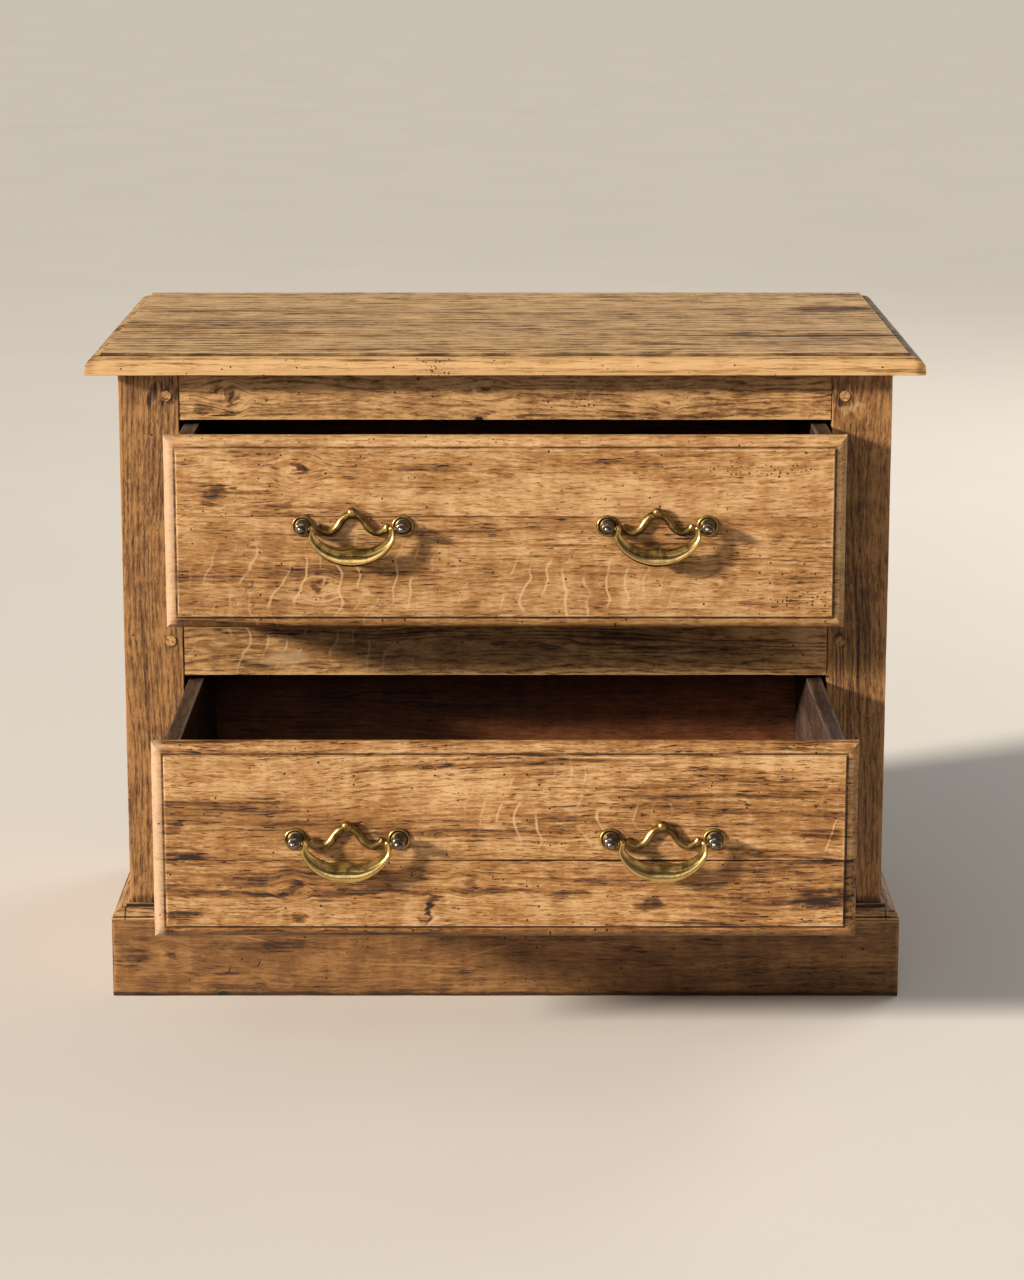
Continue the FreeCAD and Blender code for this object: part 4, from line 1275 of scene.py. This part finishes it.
@dataclass(frozen=True)
class Case:
    """The carcase: top, posts, rails, panels, back, plinth, runners and fastenings."""

    body: str = "case"
    fine: Wear = Wear(rounding=0.0013, dent=0.0004, chip=0.0008, spacing=0.014)
    plain: Wear = Wear(rounding=0.0012, dent=0.0004, chip=0.0006, spacing=0.024)
    top_quirk: Quirk = Quirk(0.0150, 0.0015, ((0, 0), (0, 1), (1, 0)), 1.0)
    # Darker ends of the top: dirt at the left end, and painted shade at the right end, which faces away from
    # the key light.
    top_ends: tuple[Crevice, ...] = (Crevice(0, -0.427, 0.014, 0.30), Crevice(0, 0.427, 0.014, 0.45))
    # Painted contact shadow along the foot of the plinth, where it meets the floor.
    foot: tuple[Crevice, ...] = (Crevice(2, 0.0, 0.006, 0.7),)
    # Dirt and painted shade at the foot of each post.
    post_foot: tuple[Crevice, ...] = (Crevice(2, 0.096, 0.012, 0.4),)
    # Dirt and painted shade in the steps of the base moulding.
    steps: tuple[Crevice, ...] = (
        Crevice(2, 0.0868, 0.0009, 0.6), Crevice(1, -0.2187, 0.0009, 0.7),
        Crevice(0, -0.4007, 0.0009, 0.7), Crevice(0, 0.4007, 0.0009, 0.7))

    TOP_BOARDS = ("top_board_front", "top_board_middle", "top_board_back")
    RUNNERS = [f"{level}_{side}_runner" for level in ("upper", "lower") for side in SIDES]

    def build(self, iron: bpy.types.Material) -> None:
        """Makes every board of the case and dresses what keeps the frame's shape.

        Args:
            iron: The material of the nails.
        """
        self._top()
        self._fronts()
        self._sides()
        self._back()
        self._fastenings()
        dress_node("back_nails", iron)

    def _board(self, node: str, finish: OakFinish, grain: Grain, seed: float, **details: object) -> Board:
        """One board of the case, with plain wear unless its details say otherwise."""
        return Board(node, self.body, finish, grain, seed, **{"wear": self.plain} | details)

    def _top(self) -> None:
        """Makes the top's three boards, glued edge to edge under one moulding."""
        boxes = [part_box(node) for node in self.TOP_BOARDS]
        form = (boxes[0][0], boxes[-1][1])
        seams = tuple((1, box[0].y) for box in boxes[1:])
        for index, node in enumerate(self.TOP_BOARDS):
            self._board(node, OAK_TOP, Grain.FLAT, 3.1 + 0.37 * index, form=form, glued=seams, wear=self.fine,
                        marks=TOP_MARKS, quirk=self.top_quirk, crevices=self.top_ends).build()

    def _fronts(self) -> None:
        """Makes the posts, front rails, plinth front and its moulding."""
        for index, side in enumerate(SIDES):
            self._board(f"front_{side}_post", OAK_CASE, Grain.UPRIGHT, 1.3 + index, marks=POST_MARKS,
                        crevices=self.post_foot, wear=self.fine).build()
        rails = {"top": TOP_RAIL_MARKS, "middle": MIDDLE_RAIL_MARKS, "bottom": ()}
        for index, (level, marks) in enumerate(rails.items()):
            self._board(f"front_{level}_rail", OAK_RAIL, Grain.FRONT, 5.2 + index, marks=marks,
                        wear=self.fine).build()
        self._board("plinth_front", OAK_PLINTH, Grain.FRONT, 8.4, marks=PLINTH_MARKS, crevices=self.foot,
                    wear=self.fine).build()
        self._board("base_moulding_front", OAK_MOULD, Grain.FRONT, 9.4, crevices=self.steps,
                    wear=self.fine).build()

    def _sides(self) -> None:
        """Makes the side rails, panels, plinth boards and mouldings, and the rear posts."""
        for index, side in enumerate(SIDES):
            seed = 11.7 + 5 * index
            for node, finish, grain, offset, crevices in (
                    (f"{side}_top_rail", OAK_CASE, Grain.SIDE, 0.0, ()),
                    (f"{side}_bottom_rail", OAK_CASE, Grain.SIDE, 0.7, ()),
                    (f"{side}_side_panel", OAK_CASE, Grain.SIDE_UPRIGHT, 1.6, ()),
                    (f"plinth_{side}", OAK_PLINTH, Grain.SIDE, 2.3, self.foot),
                    (f"base_moulding_{side}", OAK_MOULD, Grain.SIDE, 3.1, self.steps),
                    (f"rear_{side}_post", OAK_CASE, Grain.UPRIGHT, 3.9, self.post_foot)):
                self._board(node, finish, grain, seed + offset, crevices=crevices).build()

    def _back(self) -> None:
        """Makes the back boards and the rails that hold them."""
        for index in range(3):
            self._board(f"back_board_{index + 1}", OAK_BACK, Grain.UPRIGHT, 23.3 + index).build()
        for index, level in enumerate(("top", "bottom")):
            self._board(f"back_{level}_rail", OAK_BACK, Grain.FRONT, 27.4 + index).build()

    def _fastenings(self) -> None:
        """Dresses the runners, guides, pegs and dowels, which keep the frame's shape."""
        woods = dict.fromkeys((*self.RUNNERS, "drawer_guides"), (OAK_BACK, Grain.SIDE))
        woods |= {"frame_pegs": (OAK_RAIL, Grain.SIDE), "top_dowels": (OAK_BACK, Grain.UPRIGHT)}
        for index, (node, (finish, grain)) in enumerate(woods.items()):
            dress_node(node, finish.dress(self._board(node, finish, grain, 31.3 + index)))


@dataclass(frozen=True)
class Drawer:
    """One drawer: a lipped front of two boards, a dovetailed box and two drop handles."""

    name: str
    seed: float
    oak: OakFinish
    marks: tuple[Mark, ...]
    seam_open: bool
    # How dark the bottom of the front is painted, as shade on the downward-facing lip.
    lip_shade: float
    lip_rise: float = 0.0015
    lip_depth: float = 0.018
    lower_darker: float = 0.04
    quirk: Quirk = Quirk(0.0116, 0.0011, ((0, 0), (0, 1), (2, 0), (2, 1)), 0.9)
    fine: Wear = Wear(rounding=0.0014, dent=0.0004, chip=0.0009, spacing=0.012)
    plain: Wear = Wear(rounding=0.0010, dent=0.0003, chip=0.0005, spacing=0.024)

    def build(self, brass: bpy.types.Material, bronze: bpy.types.Material, iron: bpy.types.Material) -> None:
        """Makes the drawer.

        Args:
            brass: The material of the handles.
            bronze: The material of their studs.
            iron: The material of the nuts.
        """
        self._front()
        self._box()
        handles = tuple(DropHandle(self.name, side) for side in SIDES)
        for handle in handles:
            handle.build(brass)
        Studs(self.name, handles).build(bronze)
        dress_node(f"{self.name}_handle_nuts", iron)

    def _front(self) -> None:
        """Makes the two boards of the front, which share one moulding."""
        lower, upper = (f"{self.name}_front_{part}_board" for part in ("lower", "upper"))
        low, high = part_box(lower)[0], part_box(upper)[1]
        form = (low + Vector((0, 0, self.lip_rise)), high)
        seam = () if self.seam_open else ((2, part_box(upper)[0].z),)
        # Painted shade along the bottom of the front, which faces down.
        painted_lip_shade = (Crevice(2, low.z, self.lip_depth, self.lip_shade),)
        darker = replace(self.oak, depth=self.oak.depth + self.lower_darker)
        for index, (node, oak) in enumerate(((lower, darker), (upper, self.oak))):
            Board(node, self.name, oak, Grain.FRONT, self.seed + 0.83 * index, self.fine, form=form,
                  glued=seam, marks=self.marks, quirk=self.quirk, crevices=painted_lip_shade).build()

    def _box(self) -> None:
        """Makes the sides, back and bottom."""
        parts = {"left_side": (Grain.SIDE, OAK_SIDES), "right_side": (Grain.SIDE, OAK_SIDES),
                 "back": (Grain.FRONT, OAK_INSIDE), "bottom": (Grain.FLAT, OAK_INSIDE)}
        for index, (part, (grain, finish)) in enumerate(parts.items()):
            seed = self.seed + 2.1 + 0.59 * index
            Board(f"{self.name}_{part}", self.name, finish, grain, seed, self.plain).build()


def hang_lamp(light: bpy.types.Light, way: Vector) -> bpy.types.Object:
    """Puts a light into the scene.

    Args:
        light: The light.
        way: The direction in which it shines.

    Returns:
        The lamp.
    """
    lamp = bpy.data.objects.new(light.name, light)
    lamp.rotation_euler = way.to_track_quat("-Z", "Y").to_euler()
    bpy.context.scene.collection.objects.link(lamp)
    return lamp


@dataclass(frozen=True)
class Softbox:
    """A square soft light that faces the dresser and is itself unseen."""

    name: str
    place: Triple
    size: float
    power: float
    aim: Triple = (0.0, 0.0, 0.35)

    def build(self) -> None:
        """Hangs the light."""
        light = bpy.data.lights.new(self.name, "AREA")
        light.shape = "SQUARE"
        light.size = self.size
        light.energy = self.power
        lamp = hang_lamp(light, Vector(self.aim) - Vector(self.place))
        lamp.location = self.place
        lamp.visible_camera = False


@dataclass(frozen=True)
class Studio:
    """A pale floor, a low key light from the left, soft fill in front and behind, and the camera."""

    eye: Triple = (0.0069, -3.3943, 1.1680)
    pitch: float = math.radians(11.069)
    lens: float = 88.419
    shift: float = -0.12
    key_way: Triple = (2.1, 1.0, -0.75)
    key_power: float = 7.05
    key_softness: float = math.radians(6)
    key_colour: Triple = (1.0, 0.955, 0.89)
    fills: tuple[Softbox, ...] = (
        Softbox("back_fill", (2.6, 2.8, 2.4), 2.2, 55.0), Softbox("front_fill", (-0.7, -2.9, 2.0), 2.0, 20.0))
    floor_half: float = 40.0
    floor_tone: Colour = seen(226, 217, 204)
    floor_mottle: Colour = (0.3, 0.28, 0.25, 1.0)
    sky: Colour = seen(196, 200, 206)
    backdrop: Colour = seen(206, 197, 184)
    sky_power: float = 0.27

    def build(self) -> None:
        """Sets up the camera, floor, lights and world."""
        self._camera()
        self._floor()
        self._key()
        for fill in self.fills:
            fill.build()
        self._world()
        bpy.context.scene.view_settings.view_transform = "Standard"

    def _camera(self) -> None:
        """Sets the camera at the photograph's height and tilt."""
        data = bpy.data.cameras.new("camera")
        data.lens = self.lens
        data.shift_y = self.shift
        camera = bpy.data.objects.new("camera", data)
        camera.location = self.eye
        camera.rotation_euler = (math.pi / 2 - self.pitch, 0.0, 0.0)
        bpy.context.scene.collection.objects.link(camera)
        bpy.context.scene.camera = camera

    def _floor(self) -> None:
        """Lays a wide pale floor with a faint mottle."""
        material, graph = new_material("studio_floor")
        x, y, z = graph.axes()
        mottle = graph.noise(graph.vector(x * 2, y * 2, z), 3)
        colour = graph.mix(mottle * 0.12, self.floor_tone, self.floor_mottle)
        graph.surface(colour, 0.8, 0.0, mottle * 0.0002, {"Specular IOR Level": 0.2})
        mesh = bmesh.new()
        bmesh.ops.create_grid(mesh, x_segments=8, y_segments=8, size=self.floor_half)
        floor = new_piece("studio_floor", mesh, material, math.pi)

    def _key(self) -> None:
        """Hangs the key light."""
        key = bpy.data.lights.new("key", "SUN")
        key.energy = self.key_power
        key.angle = self.key_softness
        key.color = self.key_colour
        hang_lamp(key, Vector(self.key_way))

    def _world(self) -> None:
        """Gives a dim sky for the light, and a pale backdrop where the camera looks past the floor."""
        world = bpy.data.worlds.new("studio")
        world.use_nodes = True
        bpy.context.scene.world = world
        graph = Graph(world.node_tree)
        looked_at = graph.node("LightPath", {}, {}, "Is Camera Ray")
        colour = graph.mix(looked_at, self.sky, self.backdrop)
        strength = looked_at * (1 - self.sky_power) + self.sky_power
        light = graph.node("Background", {}, {"Color": colour, "Strength": strength})
        graph.node("OutputWorld", {}, {"Surface": light})


def main() -> None:
    """Builds the dresser and its studio."""
    logging.basicConfig(level=logging.INFO, format="%(message)s")
    Studio().build()
    brass, bronze, iron = BRASS.dress(), BRONZE.dress(), IRON.dress()
    Case().build(iron)
    Drawer("upper_drawer", 41.3, OAK_UPPER, UPPER_MARKS, False, 0.10).build(brass, bronze, iron)
    Drawer("lower_drawer", 47.9, OAK_LOWER, LOWER_MARKS, True, 0.30).build(brass, bronze, iron)


if __name__ == "__main__":
    main()
